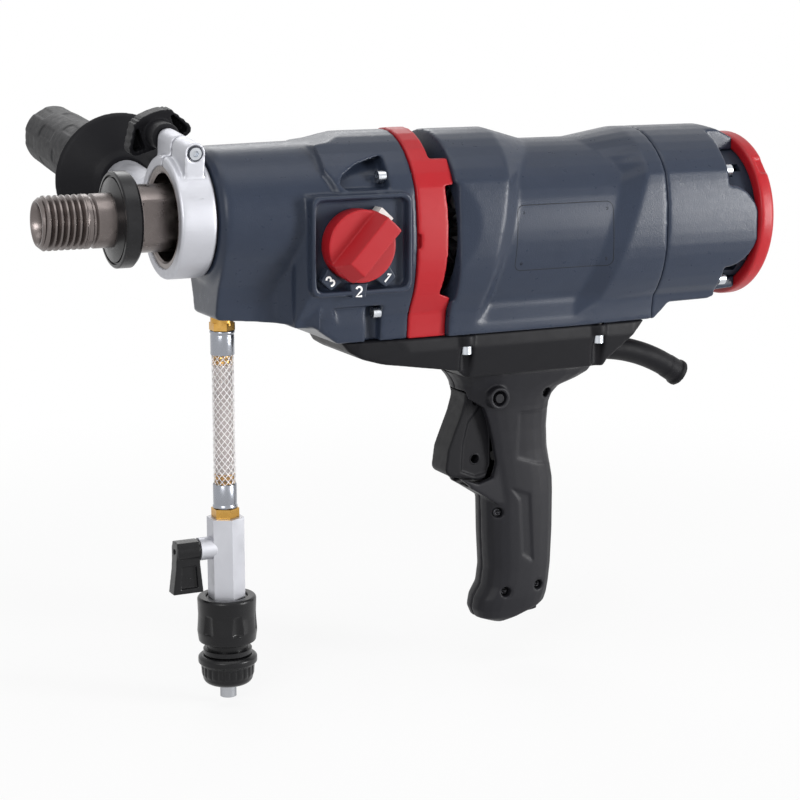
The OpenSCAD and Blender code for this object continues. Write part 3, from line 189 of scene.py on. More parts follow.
# one finish for each sort of surface: colours as seen in daylight, grain in millimetres,
# the tint dims the sheen seen at a slant, and what is not said is as in the base
finishBase = {"roughSpread": 0.08, "metal": 0, "spec": 0.5, "tint": 1}
finishes = {
    "housingPaint": {"color": (42, 49, 63), "worn": (88, 95, 108), "rough": 0.31, "tint": 0.4, "grain": 0.8,
                     "bump": 0.26, "fleck": 0.16, "wear": 0.25},
    "redPlastic": {"color": (156, 22, 30), "worn": (196, 70, 78), "rough": 0.38, "tint": 0.5, "grain": 0.5,
                   "bump": 0.12, "fleck": 0.06, "wear": 0.2},
    "blackPlastic": {"color": (20, 20, 23), "worn": (64, 64, 68), "rough": 0.48, "roughSpread": 0.1,
                     "spec": 0.4, "tint": 0.28, "grain": 0.45, "bump": 0.18, "fleck": 0.12, "wear": 0.25},
    "gripShell": {"color": (27, 27, 31), "worn": (72, 72, 76), "rough": 0.48, "roughSpread": 0.1,
                  "spec": 0.4, "tint": 0.42, "grain": 0.45, "bump": 0.18, "fleck": 0.12, "wear": 0.25},
    "sideRubber": {"color": (20, 20, 23), "worn": (50, 50, 54), "rough": 0.55, "roughSpread": 0.1,
                   "spec": 0.4, "tint": 0.22, "grain": 0.4, "bump": 0.22, "fleck": 0.12, "wear": 0.2},
    "glossBlack": {"color": (17, 17, 19), "worn": (54, 54, 58), "rough": 0.3, "tint": 0.5, "grain": 0.8,
                   "bump": 0.05, "fleck": 0.05, "wear": 0.2},
    "castAluminium": {"color": (182, 183, 189), "worn": (224, 225, 228), "rough": 0.46, "roughSpread": 0.12,
                      "metal": 0.7, "grain": 0.35, "bump": 0.1, "fleck": 0.05, "wear": 0.3},
    "spindleSteel": {"color": (113, 106, 104), "worn": (158, 151, 148), "rough": 0.32, "roughSpread": 0.16,
                     "metal": 1.0, "grain": 0.6, "bump": 0.06, "fleck": 0.3, "wear": 0.6},
    "zincSteel": {"color": (190, 194, 200), "worn": (232, 233, 236), "rough": 0.24, "roughSpread": 0.12,
                  "metal": 1.0, "grain": 0.8, "bump": 0.04, "fleck": 0.12, "wear": 0.4},
    "sheetSteel": {"color": (128, 128, 132), "worn": (170, 170, 172), "rough": 0.42, "roughSpread": 0.1,
                   "metal": 0.9, "grain": 0.5, "bump": 0.1, "fleck": 0.15, "wear": 0.2},
    "turnedBrass": {"color": (190, 146, 74), "worn": (222, 190, 124), "rough": 0.28, "roughSpread": 0.12,
                    "metal": 1.0, "grain": 0.7, "bump": 0.05, "fleck": 0.15, "wear": 0.3},
    "blackenedSteel": {"color": (40, 40, 43), "worn": (96, 96, 100), "rough": 0.4, "roughSpread": 0.1,
                       "metal": 0.8, "spec": 0.4, "grain": 0.5, "bump": 0.08, "fleck": 0.15, "wear": 0.3},
    "pressedZinc": {"color": (150, 153, 160), "worn": (196, 198, 204), "rough": 0.24, "roughSpread": 0.12,
                    "metal": 1.0, "grain": 0.9, "bump": 0.04, "fleck": 0.12, "wear": 0.3},
    "brushCarbon": {"color": (28, 28, 28), "worn": (60, 60, 60), "rough": 0.6, "spec": 0.3, "grain": 0.3,
                    "bump": 0.2, "fleck": 0.1, "wear": 0.1},
    "greyPlastic": {"color": (200, 199, 196), "worn": (224, 224, 222), "rough": 0.42, "spec": 0.4,
                    "grain": 0.6, "bump": 0.05, "fleck": 0.05, "wear": 0.15},
    "sealRubber": {"color": (22, 22, 24), "worn": (48, 48, 50), "rough": 0.5, "spec": 0.3, "grain": 0.6,
                   "bump": 0.08, "fleck": 0.1, "wear": 0.1},
    # the intake drum is the housing paint darkened: painted shade on its recessed wall
    "drumPaintedShade": {"color": (31, 37, 49), "worn": (60, 66, 78), "rough": 0.5, "spec": 0.3, "tint": 0.4,
                   "grain": 0.6, "bump": 0.08, "fleck": 0.1, "wear": 0.1},
    "numberPaint": {"color": (240, 240, 238), "worn": (210, 210, 210), "rough": 0.5, "spec": 0.3,
                    "grain": 0.4, "bump": 0.06, "fleck": 0.04, "wear": 0.05},
    "hoseCore": {"color": (176, 168, 166), "worn": (232, 228, 224), "rough": 0.3, "roughSpread": 0.15,
                 "grain": 2.6, "bump": 0.1, "fleck": 0.35, "wear": 0.1},
    "braidThread": {"color": (240, 238, 240), "worn": (250, 250, 250), "rough": 0.45, "roughSpread": 0.1,
                    "spec": 0.4, "grain": 0.3, "bump": 0.15, "fleck": 0.06, "wear": 0.1},
    # dark strip standing for the plate's fine groove, its colour painted shade; the plate pins use it too
    "paintedGrooveShadeAndPins": {"color": (24, 27, 33), "worn": (40, 42, 46), "rough": 0.6, "spec": 0.2, "grain": 0.4,
                   "bump": 0.1, "fleck": 0.1, "wear": 0.05},
}
# numbers that all finishes share: scale and detail of each noise, depth of the grain in metres
noiseSet = {"grainDetail": 2, "cloud": (60, 3), "smear": (220, 4), "grainDepth": 0.00025,
            "sheenFrom": 0.3, "sheenTo": 0.7, "mixShare": 0.5, "edgeFrom": 0.53, "edgeTo": 0.62}


def makeFinish(name, look):
    material = bpy.data.materials.new(name)
    material.use_nodes = True
    tree = material.node_tree
    tree.nodes.clear()
    new, link = tree.nodes.new, tree.links.new
    out = new("ShaderNodeOutputMaterial")
    shader = new("ShaderNodeBsdfPrincipled")
    link(shader.outputs[0], out.inputs["Surface"])
    shader.inputs["Metallic"].default_value = look["metal"]
    shader.inputs["Specular IOR Level"].default_value = look["spec"]
    shader.inputs["Specular Tint"].default_value = (*[look["tint"]] * 3, 1)
    where = new("ShaderNodeTexCoord")

    def noise(scale, detail):
        n = new("ShaderNodeTexNoise")
        n.inputs["Scale"].default_value = scale
        n.inputs["Detail"].default_value = detail
        link(where.outputs["Object"], n.inputs["Vector"])
        return n

    grain = noise(1 / mm / look["grain"], noiseSet["grainDetail"])
    cloud = noise(*noiseSet["cloud"])
    smear = noise(*noiseSet["smear"])
    # grain of the skin
    bump = new("ShaderNodeBump")
    bump.inputs["Strength"].default_value = look["bump"]
    bump.inputs["Distance"].default_value = noiseSet["grainDepth"]
    link(grain.outputs["Fac"], bump.inputs["Height"])
    link(bump.outputs[0], shader.inputs["Normal"])
    # uneven sheen
    sheen = new("ShaderNodeMapRange")
    sheen.inputs["From Min"].default_value = noiseSet["sheenFrom"]
    sheen.inputs["From Max"].default_value = noiseSet["sheenTo"]
    sheen.inputs["To Min"].default_value = look["rough"] - look["roughSpread"] / 2
    sheen.inputs["To Max"].default_value = look["rough"] + look["roughSpread"] / 2
    link(smear.outputs["Fac"], sheen.inputs["Value"])
    link(sheen.outputs[0], shader.inputs["Roughness"])
    # colour flecks and a broad drift
    base = linear(look["color"])
    worn = linear(look["worn"])
    fleck = new("ShaderNodeMix")
    fleck.data_type = "RGBA"
    fleck.inputs["A"].default_value = (*(c * (1 - look["fleck"]) for c in base), 1)
    fleck.inputs["B"].default_value = (*(min(1, c * (1 + look["fleck"])) for c in base), 1)
    both = new("ShaderNodeMath")
    both.operation = "MULTIPLY_ADD"
    both.inputs[1].default_value = noiseSet["mixShare"]
    half = new("ShaderNodeMath")
    half.operation = "MULTIPLY"
    half.inputs[1].default_value = noiseSet["mixShare"]
    link(cloud.outputs["Fac"], half.inputs[0])
    link(grain.outputs["Fac"], both.inputs[0])
    link(half.outputs[0], both.inputs[2])
    link(both.outputs[0], fleck.inputs["Factor"])
    # rubbed edges
    shape = new("ShaderNodeNewGeometry")
    edge = new("ShaderNodeMapRange")
    edge.inputs["From Min"].default_value = noiseSet["edgeFrom"]
    edge.inputs["From Max"].default_value = noiseSet["edgeTo"]
    edge.inputs["To Max"].default_value = look["wear"]
    link(shape.outputs["Pointiness"], edge.inputs["Value"])
    patch = new("ShaderNodeMath")
    patch.operation = "MULTIPLY"
    link(edge.outputs[0], patch.inputs[0])
    link(smear.outputs["Fac"], patch.inputs[1])
    rub = new("ShaderNodeMix")
    rub.data_type = "RGBA"
    link(patch.outputs[0], rub.inputs["Factor"])
    link(fleck.outputs["Result"], rub.inputs["A"])
    rub.inputs["B"].default_value = (*worn, 1)
    link(rub.outputs["Result"], shader.inputs["Base Color"])
    return material


finish = {name: makeFinish(name, {**finishBase, **look}) for name, look in finishes.items()}
# outer layer of the hose
sheathSet = {"color": (0.98, 0.97, 0.96, 1), "clear": 0.96, "ior": 1.25, "rippleScale": 180,
             "roughFrom": 0.03, "roughTo": 0.12, "rippleStrength": 0.12, "rippleDepth": 0.0004}


def makeClearSheath():
    material = bpy.data.materials.new("clearSheath")
    material.use_nodes = True
    tree = material.node_tree
    shader = tree.nodes["Principled BSDF"]
    shader.inputs["Base Color"].default_value = sheathSet["color"]
    shader.inputs["Transmission Weight"].default_value = sheathSet["clear"]
    shader.inputs["IOR"].default_value = sheathSet["ior"]
    where = tree.nodes.new("ShaderNodeTexCoord")
    ripple = tree.nodes.new("ShaderNodeTexNoise")
    ripple.inputs["Scale"].default_value = sheathSet["rippleScale"]
    tree.links.new(where.outputs["Object"], ripple.inputs["Vector"])
    spread = tree.nodes.new("ShaderNodeMapRange")
    spread.inputs["To Min"].default_value = sheathSet["roughFrom"]
    spread.inputs["To Max"].default_value = sheathSet["roughTo"]
    tree.links.new(ripple.outputs["Fac"], spread.inputs["Value"])
    tree.links.new(spread.outputs[0], shader.inputs["Roughness"])
    bump = tree.nodes.new("ShaderNodeBump")
    bump.inputs["Strength"].default_value = sheathSet["rippleStrength"]
    bump.inputs["Distance"].default_value = sheathSet["rippleDepth"]
    tree.links.new(ripple.outputs["Fac"], bump.inputs["Height"])
    tree.links.new(bump.outputs[0], shader.inputs["Normal"])
    return material


finish["clearSheath"] = makeClearSheath()
# black above a height in metres, bare metal below it: the coupling's hose tail, and the base screws, whose
# heads are bare metal and whose shanks are black as painted shade where they show in the seam between base
# and housing
splitFinishes = {"couplingTail": (-0.2904, (170, 172, 176)), "screwHeadsShankPaintedShade": (-0.0848, (190, 194, 200))}


def makeSplitFinish(name, splitZ, metalColor):
    material = finish["glossBlack"].copy()
    material.name = name
    tree = material.node_tree
    new, link = tree.nodes.new, tree.links.new
    shader = next(n for n in tree.nodes if n.type == "BSDF_PRINCIPLED")
    where = next(n for n in tree.nodes if n.type == "TEX_COORD")
    split = new("ShaderNodeSeparateXYZ")
    link(where.outputs["Object"], split.inputs[0])
    below = new("ShaderNodeMath")
    below.operation = "LESS_THAN"
    below.inputs[1].default_value = splitZ
    link(split.outputs["Z"], below.inputs[0])
    link(below.outputs[0], shader.inputs["Metallic"])
    tone = new("ShaderNodeMix")
    tone.data_type = "RGBA"
    black = shader.inputs["Base Color"].links[0].from_socket
    link(below.outputs[0], tone.inputs["Factor"])
    link(black, tone.inputs["A"])
    tone.inputs["B"].default_value = (*linear(metalColor), 1)
    link(tone.outputs["Result"], shader.inputs["Base Color"])
    return material


for finishName, (splitZ, metalColor) in splitFinishes.items():
    finish[finishName] = makeSplitFinish(finishName, splitZ, metalColor)
finishOfSlot = {
    "housing_paint": "housingPaint", "motor_shell": "housingPaint", "red_plastic": "redPlastic",
    "black_plastic": "blackPlastic", "grip_rubber": "sideRubber", "bare_aluminium": "castAluminium",
    "spindle_steel": "spindleSteel", "bright_steel": "zincSteel", "lamination": "sheetSteel",
    "brass": "turnedBrass", "hose_clear": "hoseCore", "carbon": "brushCarbon",
    "grey_plastic": "greyPlastic", "seal_rubber": "sealRubber",
}
finishOfNode = {n: finishOfSlot[s] for n, s in slotOfNode.items()}
finishOfNode.update({
    "coupling_sleeve": "glossBlack", "coupling_nut": "glossBlack", "slip_ring": "glossBlack",
    "valve_lever": "glossBlack", "wing_knob": "sideRubber", "handle_left": "gripShell",
    "handle_right": "gripShell", "intake_drum": "drumPaintedShade", "coupling_body": "couplingTail",
    "base_screws": "screwHeadsShankPaintedShade",
})
for nodeName, nodeObject in nodes.items():
    nodeObject.data.materials.clear()
    nodeObject.data.materials.append(finish[finishOfNode[nodeName]])
print("finishes made:", len(finish))


def meshObject(name, mesh, finishName, body, smooth=True):
    piece = bpy.data.objects.new(name, mesh)
    scene.collection.objects.link(piece)
    mesh.materials.clear()
    mesh.materials.append(finish[finishName])
    for polygon in mesh.polygons:
        polygon.use_smooth = smooth
    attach(piece, body)
    return piece


def evaluated(piece):
    bpy.context.view_layer.update()
    graph = bpy.context.evaluated_depsgraph_get()
    return bpy.data.meshes.new_from_object(piece.evaluated_get(graph))


# points closer than the weld, in metres, become one before a skin is grown over a solid
skinSteps = {"weld": 2e-6, "smoothShare": 0.5, "settlePasses": 4}


def mergedCopy(nodeName):
    mesh = nodes[nodeName].data.copy()
    work = bmesh.new()
    work.from_mesh(mesh)
    bmesh.ops.remove_doubles(work, verts=work.verts, dist=skinSteps["weld"])
    work.to_mesh(mesh)
    work.free()
    mesh.materials.clear()
    return mesh


# signed distance to a closed outline, positive inside
def insideOutline(px, pz, outline):
    best = np.full(px.shape, 1e9)
    odd = np.zeros(px.shape, bool)
    for (ax, az), (bx, bz) in zip(outline, outline[1:] + outline[:1]):
        ex, ez = bx - ax, bz - az
        t = np.clip(((px - ax) * ex + (pz - az) * ez) / (ex * ex + ez * ez), 0, 1)
        best = np.minimum(best, np.hypot(px - ax - t * ex, pz - az - t * ez))
        if az != bz:
            odd ^= ((az > pz) != (bz > pz)) & (px < ax + ex * (pz - az) / ez)
    return np.where(odd, best, -best)


def softStep(distance, width):
    t = np.clip(distance / width + 0.5, 0, 1)
    return t * t * (3 - 2 * t)


# how far a face looks along a direction before a pattern shows on it, and how softly that sets in
facing = {"from": 0.45, "sideSoft": 0.3, "topSoft": 0.4}


def onFlank(ny):
    return softStep(np.abs(ny) - facing["from"], facing["sideSoft"])


# sunk panels pressed into the grip halves, in the side plane
gripPanels = {
    "outlines": [
        [(231, -134), (231, -164), (246, -169), (262, -171), (262, -134)],
        [(227.4, -184), (240.4, -189), (243.3, -233.7), (235.8, -228.7), (233.4, -192.4)],
    ],
    "depth": 0.75, "soft": 1.6,
}


def pressGrip(x, y, z, nx, ny, nz):
    push = np.zeros(x.shape)
    for outline in gripPanels["outlines"]:
        push = np.maximum(push, softStep(insideOutline(x, z, outline), gripPanels["soft"]))
    return -gripPanels["depth"] * push * onFlank(ny)


triggerPanel = {
    "outline": [(208.5, -126), (205, -131.4), (198.4, -139), (194.8, -153),
                (193.8, -170.5), (203.6, -174.6), (218, -172), (220, -140)],
    "depth": 1.1, "soft": 1.8,
}


def pressTrigger(x, y, z, nx, ny, nz):
    push = softStep(insideOutline(x, z, triggerPanel["outline"]), triggerPanel["soft"])
    return -triggerPanel["depth"] * onFlank(ny) * push


# the side handle's own frame is tilted about the spindle axis
sideSet = {"tilt": 7, "x": 11.6,
           "padRows": (247, 212, 177, 142), "padLength": 27, "padWidth": 8, "padDepth": 0.6,
           "padCorner": 2.6, "padSoft": 1.6, "padRadius": 17, "around": 6,
           "boltHeight": 42, "wingTurn": 20,
           "ribPitch": 2.5, "ribDepth": 0.34, "ribFrom": 8, "ribSoft": 2}


def untilted(y, z):
    c, s = math.cos(math.radians(sideSet["tilt"])), math.sin(math.radians(sideSet["tilt"]))
    return y * c + z * s, -y * s + z * c


def pressSideGrip(x, y, z, nx, ny, nz):
    ly, lz = untilted(y, z)
    radius = np.hypot(x - sideSet["x"], lz)
    angle = np.arctan2(lz, x - sideSet["x"])
    push = np.zeros(x.shape)
    step = 2 * math.pi / sideSet["around"]
    bend = sideSet["padCorner"]
    for row, middle in enumerate(sideSet["padRows"]):
        off = (angle + row % 2 * step / 2 + step / 2) % step - step / 2
        inX = sideSet["padWidth"] / 2 - np.abs(off * radius)
        inY = sideSet["padLength"] / 2 - np.abs(ly - middle)
        corner = bend - np.hypot(np.maximum(bend - inX, 0), np.maximum(bend - inY, 0))
        inside = np.minimum(np.minimum(inX, inY), corner)
        push = np.maximum(push, softStep(inside, sideSet["padSoft"]))
    return -sideSet["padDepth"] * push * (radius > sideSet["padRadius"])


def pressWing(x, y, z, nx, ny, nz):
    lz, nlz = untilted(y, z)[1], untilted(ny, nz)[1]
    t = math.radians(sideSet["wingTurn"])
    dx, dz = x - sideSet["x"], lz - sideSet["boltHeight"]
    along = dx * math.cos(t) + dz * math.sin(t)
    up = -nx * math.sin(t) + nlz * math.cos(t)
    ribs = sideSet["ribDepth"] * np.cos(2 * math.pi * along / sideSet["ribPitch"])
    outward = softStep(np.abs(along) - sideSet["ribFrom"], sideSet["ribSoft"])
    return ribs * outward * softStep(up - facing["from"], facing["topSoft"])


sculpts = {"handle_left": pressGrip, "handle_right": pressGrip, "trigger": pressTrigger,
           "side_grip": pressSideGrip, "wing_knob": pressWing}
# cast and moulded pieces get soft edges: voxel in millimetres, smoothing passes, share of faces kept
softEdges = {
    "gear_housing": (0.9, 10, 0.55), "motor_housing": (1.0, 12, 0.5), "rear_cover": (0.9, 9, 0.5),
    "vent_ring": (0.7, 6, 0.6), "handle_base": (0.8, 8, 0.6), "handle_left": (0.7, 10, 0.6),
    "handle_right": (0.7, 10, 0.6), "trigger": (0.5, 20, 0.7), "selector_knob": (0.4, 6, 0.6),
    "clamp_ring": (0.6, 6, 0.6), "wing_knob": (0.4, 6, 0.7), "valve_lever": (0.4, 5, 0.7),
    "coupling_sleeve": (0.45, 5, 0.6), "coupling_nut": (0.4, 3, 0.6), "cord_sleeve": (0.6, 5, 0.7),
    "rear_ring": (0.7, 8, 0.6), "hand_guard": (0.7, 5, 0.6), "side_grip": (0.8, 8, 0.6),
}
shells = {}


def pressSkin(skin, press):
    count = len(skin.vertices)
    co, no = np.empty(count * 3, np.float32), np.empty(count * 3, np.float32)
    skin.vertices.foreach_get("co", co)
    skin.vertex_normals.foreach_get("vector", no)
    co, no = co.reshape(-1, 3).astype(float), no.reshape(-1, 3).astype(float)
    move = press(*(co.T / mm), *no.T) * mm
    co += no * move[:, None]
    skin.vertices.foreach_set("co", co.astype(np.float32).ravel())
    skin.update()


def softenCasting(nodeName, voxel, passes, keep):
    rough = bpy.data.objects.new("rough_" + nodeName, mergedCopy(nodeName))
    scene.collection.objects.link(rough)
    remesh = rough.modifiers.new("skin", "REMESH")
    remesh.mode = "VOXEL"
    remesh.voxel_size = voxel * mm
    relax = rough.modifiers.new("relax", "SMOOTH")
    relax.factor = skinSteps["smoothShare"]
    relax.iterations = passes
    skin = evaluated(rough)
    rough.modifiers.clear()
    if nodeName in sculpts:
        pressSkin(skin, sculpts[nodeName])
    rough.data = skin
    thin = rough.modifiers.new("thin", "DECIMATE")
    thin.ratio = keep
    settle = rough.modifiers.new("settle", "SMOOTH")
    settle.factor = skinSteps["smoothShare"]
    settle.iterations = skinSteps["settlePasses"]
    skin = evaluated(rough)
    bpy.data.objects.remove(rough)
    piece = meshObject(nodeName + "_skin", skin, finishOfNode[nodeName], bodyOfNode[nodeName])
    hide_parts(nodeName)
    shells[nodeName] = piece
    return len(skin.polygons)


for nodeName, (voxel, passes, keep) in softEdges.items():
    count = softenCasting(nodeName, voxel, passes, keep)
    print("soft edges:", nodeName, count)

# clear hose over a white braid
hoseSet = {"x": 36.9, "top": -69.0, "bottom": -178.7, "points": 24, "radius": 6.7, "sheathRounds": 12,
           "core": 4.6, "coreRings": 40, "coreSides": 48, "inset": 1,
           "braid": 5.9, "strands": 10, "turns": 2.35, "thread": 0.25, "threadSides": 6, "turnSteps": 40}


def hoseLine():
    top, bottom, last = hoseSet["top"], hoseSet["bottom"], hoseSet["points"] - 1
    return [(hoseSet["x"] * mm, 0, (top + (bottom - top) * i / last) * mm) for i in range(last + 1)]


def geometryTree(name, inputs):
    tree = bpy.data.node_groups.new(name, "GeometryNodeTree")
    sockets = {}
    tree.interface.new_socket("Geometry", in_out="INPUT", socket_type="NodeSocketGeometry")
    for label, kind in inputs:
        sockets[label] = tree.interface.new_socket(label, in_out="INPUT", socket_type=kind)
    tree.interface.new_socket("Geometry", in_out="OUTPUT", socket_type="NodeSocketGeometry")
    return tree, sockets


# runs a node tree on a carrier, whose points may be given with the way each one looks
def growNodes(tree, sockets, values, name, finishName, body, places=()):
    points = bpy.data.meshes.new("carrier_" + name)
    points.from_pydata([tuple(spot) for spot, look in places], [], [])
    if places:
        looks = points.attributes.new("look", "FLOAT_VECTOR", "POINT")
        for row, (spot, look) in zip(looks.data, places):
            row.vector = look
    carrier = bpy.data.objects.new("carrier_" + name, points)
    scene.collection.objects.link(carrier)
    modifier = carrier.modifiers.new(name, "NODES")
    modifier.node_group = tree
    for label, value in values.items():
        modifier[sockets[label].identifier] = value
    mesh = evaluated(carrier)
    carrier.modifiers.remove(modifier)
    bpy.data.objects.remove(carrier)
    return meshObject(name, mesh, finishName, body)


def braidTree():
    tree, sockets = geometryTree("hoseBraid", [
        ("Strands", "NodeSocketInt"), ("Radius", "NodeSocketFloat"), ("Height", "NodeSocketFloat"),
        ("Turns", "NodeSocketFloat"), ("Thread", "NodeSocketFloat"), ("Place", "NodeSocketVector"),
        ("Finish", "NodeSocketMaterial")])
    new, link = tree.nodes.new, tree.links.new
    given = new("NodeGroupInput")
    out = new("NodeGroupOutput")
    join = new("GeometryNodeJoinGeometry")
    for reverse in (False, True):
        spiral = new("GeometryNodeCurveSpiral")
        spiral.inputs["Resolution"].default_value = hoseSet["turnSteps"]
        spiral.inputs["Reverse"].default_value = reverse
        link(given.outputs["Turns"], spiral.inputs["Rotations"])
        link(given.outputs["Radius"], spiral.inputs["Start Radius"])
        link(given.outputs["Radius"], spiral.inputs["End Radius"])
        link(given.outputs["Height"], spiral.inputs["Height"])
        points = new("GeometryNodePoints")
        link(given.outputs["Strands"], points.inputs["Count"])
        index = new("GeometryNodeInputIndex")
        step = new("ShaderNodeMath")
        step.operation = "DIVIDE"
        step.inputs[0].default_value = 2 * math.pi
        link(given.outputs["Strands"], step.inputs[1])
        angle = new("ShaderNodeMath")
        angle.operation = "MULTIPLY"
        link(index.outputs[0], angle.inputs[0])
        link(step.outputs[0], angle.inputs[1])
        turn = new("ShaderNodeCombineXYZ")
        link(angle.outputs[0], turn.inputs["Z"])
        spread = new("GeometryNodeInstanceOnPoints")
        link(points.outputs[0], spread.inputs["Points"])
        link(spiral.outputs[0], spread.inputs["Instance"])
        link(turn.outputs[0], spread.inputs["Rotation"])
        link(spread.outputs[0], join.inputs[0])
    real = new("GeometryNodeRealizeInstances")
    link(join.outputs[0], real.inputs[0])
    ring = new("GeometryNodeCurvePrimitiveCircle")
    ring.inputs["Resolution"].default_value = hoseSet["threadSides"]
    link(given.outputs["Thread"], ring.inputs["Radius"])
    skin = new("GeometryNodeCurveToMesh")
    skin.inputs["Fill Caps"].default_value = True
    link(real.outputs[0], skin.inputs["Curve"])
    link(ring.outputs[0], skin.inputs["Profile Curve"])
    move = new("GeometryNodeTransform")
    link(skin.outputs[0], move.inputs["Geometry"])
    link(given.outputs["Place"], move.inputs["Translation"])
    paint = new("GeometryNodeSetMaterial")
    link(move.outputs[0], paint.inputs["Geometry"])
    link(given.outputs["Finish"], paint.inputs["Material"])
    link(paint.outputs[0], out.inputs[0])
    return tree, sockets


# skin over loops of points, capped at both ends or closed into a ring
def loftMesh(name, loops, ring=False):
    work = bmesh.new()
    loops = [[work.verts.new(spot) for spot in loop] for loop in loops]
    for a, b in zip(loops, loops[1:] + loops[:1] if ring else loops[1:]):
        for k in range(len(a)):
            after = (k + 1) % len(a)
            work.faces.new((a[k], a[after], b[after], b[k]))
    if not ring:
        work.faces.new(loops[0])
        work.faces.new(loops[-1])
    bmesh.ops.recalc_face_normals(work, faces=work.faces)
    mesh = bpy.data.meshes.new(name)
    work.to_mesh(mesh)
    work.free()
    return mesh


# shape turned about an upright axis, from pairs of height and radius
def turned(name, steps, sides, x, z=0, ring=False):
    turns = [2 * math.pi * k / sides for k in range(sides)]
    return loftMesh(name, [[((radius * math.cos(a) + x) * mm, radius * math.sin(a) * mm, (along + z) * mm)
                            for a in turns] for along, radius in steps], ring)


def joinMeshes(name, meshes, weld=0):
    work = bmesh.new()
    for mesh in meshes:
        work.from_mesh(mesh)
        bpy.data.meshes.remove(mesh)
    if weld:
        bmesh.ops.remove_doubles(work, verts=work.verts, dist=weld)
    joined = bpy.data.meshes.new(name)
    work.to_mesh(joined)
    work.free()
    return joined


# brass hose tails that reach a little past the ferrules inside the clear hose
barbSet = {"radius": 5.1, "reach": 19.5, "start": 1.0, "pitch": 2.8, "land": 0.3, "slope": 2.6,
           "dip": 0.55, "mouth": (0.6, 0.6), "nose": (0.8, 0.7), "sides": 40}


def makeBarbs():
    b = barbSet
    radius = b["radius"]
    meshes = []
    for end, way in ((hoseSet["top"], -1), (hoseSet["bottom"], 1)):
        steps = [(b["mouth"][0], radius - b["mouth"][1]), (b["start"], radius)]
        reach = b["start"]
        while reach < b["reach"]:
            steps += [(reach + b["land"], radius), (reach + b["slope"], radius - b["dip"]),
                      (reach + b["pitch"], radius)]
            reach += b["pitch"]
        steps.append((reach + b["nose"][0], radius - b["nose"][1]))
        rows = [(end + way * along, r) for along, r in steps]
        meshes.append(turned("barb", rows, b["sides"], hoseSet["x"]))
    return meshObject("hose_barbs", joinMeshes("hose_barbs", meshes), "turnedBrass", "machine")


# pressed sleeves on both hose ends, each with a lip rolled outward at its nut
ferruleSet = {"long": 14.8, "bore": 6.76, "lip": 7.6, "wall": 7.25, "sides": 56,
              "ends": ((-84.0, 1), (-163.7, -1))}


def makeFerrules():
    f = ferruleSet
    long, bore, lip, wall = f["long"], f["bore"], f["lip"], f["wall"]
    steps = [
        # rounded mouth, plain wall, waist, rolled lip
        (0.3, bore), (0, bore + 0.2), (0, wall - 0.15), (0.3, wall),
        (long - 2.9, wall), (long - 2.6, wall - 0.1), (long - 2.0, wall - 0.1),
        (long - 1.6, lip - 0.15), (long - 1.2, lip), (long - 0.4, lip), (long, lip - 0.3),
        (long, bore + 0.2), (long - 0.3, bore),
    ]
    mesh = joinMeshes("ferrules_turned", [
        turned("ferrule", [(way * z, r) for z, r in steps], f["sides"], hoseSet["x"], start, ring=True)
        for start, way in f["ends"]])
    piece = meshObject("ferrules_turned", mesh, "pressedZinc", bodyOfNode["hose_ferrules"])
    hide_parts("hose_ferrules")
    shells["hose_ferrules"] = piece


def makeHose():
    h = hoseSet
    curve = bpy.data.curves.new("hose_sheath", "CURVE")
    curve.dimensions = "3D"
    curve.bevel_depth = h["radius"] * mm
    curve.bevel_resolution = h["sheathRounds"]
    curve.use_fill_caps = True
    line = hoseLine()
    spline = curve.splines.new("POLY")
    spline.points.add(len(line) - 1)
    for point, place in zip(spline.points, line):
        point.co = (*place, 1)
    spline.use_smooth = True
    curve.materials.append(finish["clearSheath"])
    sheath = bpy.data.objects.new("hose_sheath", curve)
    scene.collection.objects.link(sheath)
    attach(sheath, "machine")
    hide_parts("hose")
    first, last, rings = h["top"] - h["inset"], h["bottom"] + h["inset"], h["coreRings"]
    rows = [(first + (last - first) * i / rings, h["core"]) for i in range(rings + 1)]
    core = meshObject("hose_core", turned("hose_core", rows, h["coreSides"], h["x"]),
                      "hoseCore", "machine")
    barbs = makeBarbs()
    tree, sockets = braidTree()
    height = (h["top"] - h["bottom"] - 2 * h["inset"]) * mm
    braid = growNodes(tree, sockets, {
        "Strands": h["strands"], "Radius": h["braid"] * mm, "Height": height, "Turns": h["turns"],
        "Thread": h["thread"] * mm, "Place": (h["x"] * mm, 0, (h["bottom"] + h["inset"]) * mm),
        "Finish": finish["braidThread"]}, "hose_braid", "braidThread", "machine")


makeFerrules()
makeHose()
print("hose made")

# spindle turned as one shape: steps along the axis, thread cut into the nose
spindleSet = {"tip": -74.6, "tipEdge": 0.1, "noseRadius": 13, "threadEnd": -47.4, "runOut": 1.6,
              "pitch": 3.63, "depth": 2.0, "crest": 15.875, "crestShare": 1.35, "flankSlope": 2.7,
              "collarRadius": 19, "flatFrom": -16.5, "flatTo": 12, "flat": 16,
              "threadStep": 0.06, "collarStep": 0.75, "plainStep": 6, "sides": 120, "sharp": 38}
spindleSteps = [
    # place along the axis, radius
    (-50, 0.4), (-50, 4.8), (-56.4, 5.0), (-56.6, 9.3), (-70.6, 9.6), (-74.2, 12.0), (-74.6, 12.4),
    (-74.6, 13.2), (-74.2, 13.6), (-71.4, 15.875), (-45.4, 15.875), (-44.4, 14.4), (-43.2, 14.3),
    (-42.0, 15.875), (-19.6, 15.875), (-19.3, 16.2), (-19.3, 19.4), (-18.8, 19.95), (66.6, 19.95),
    (67, 19.6), (67, 15), (131.3, 15), (131.3, 10), (141.0, 10), (141.5, 9.4), (141.5, 0.4),
]


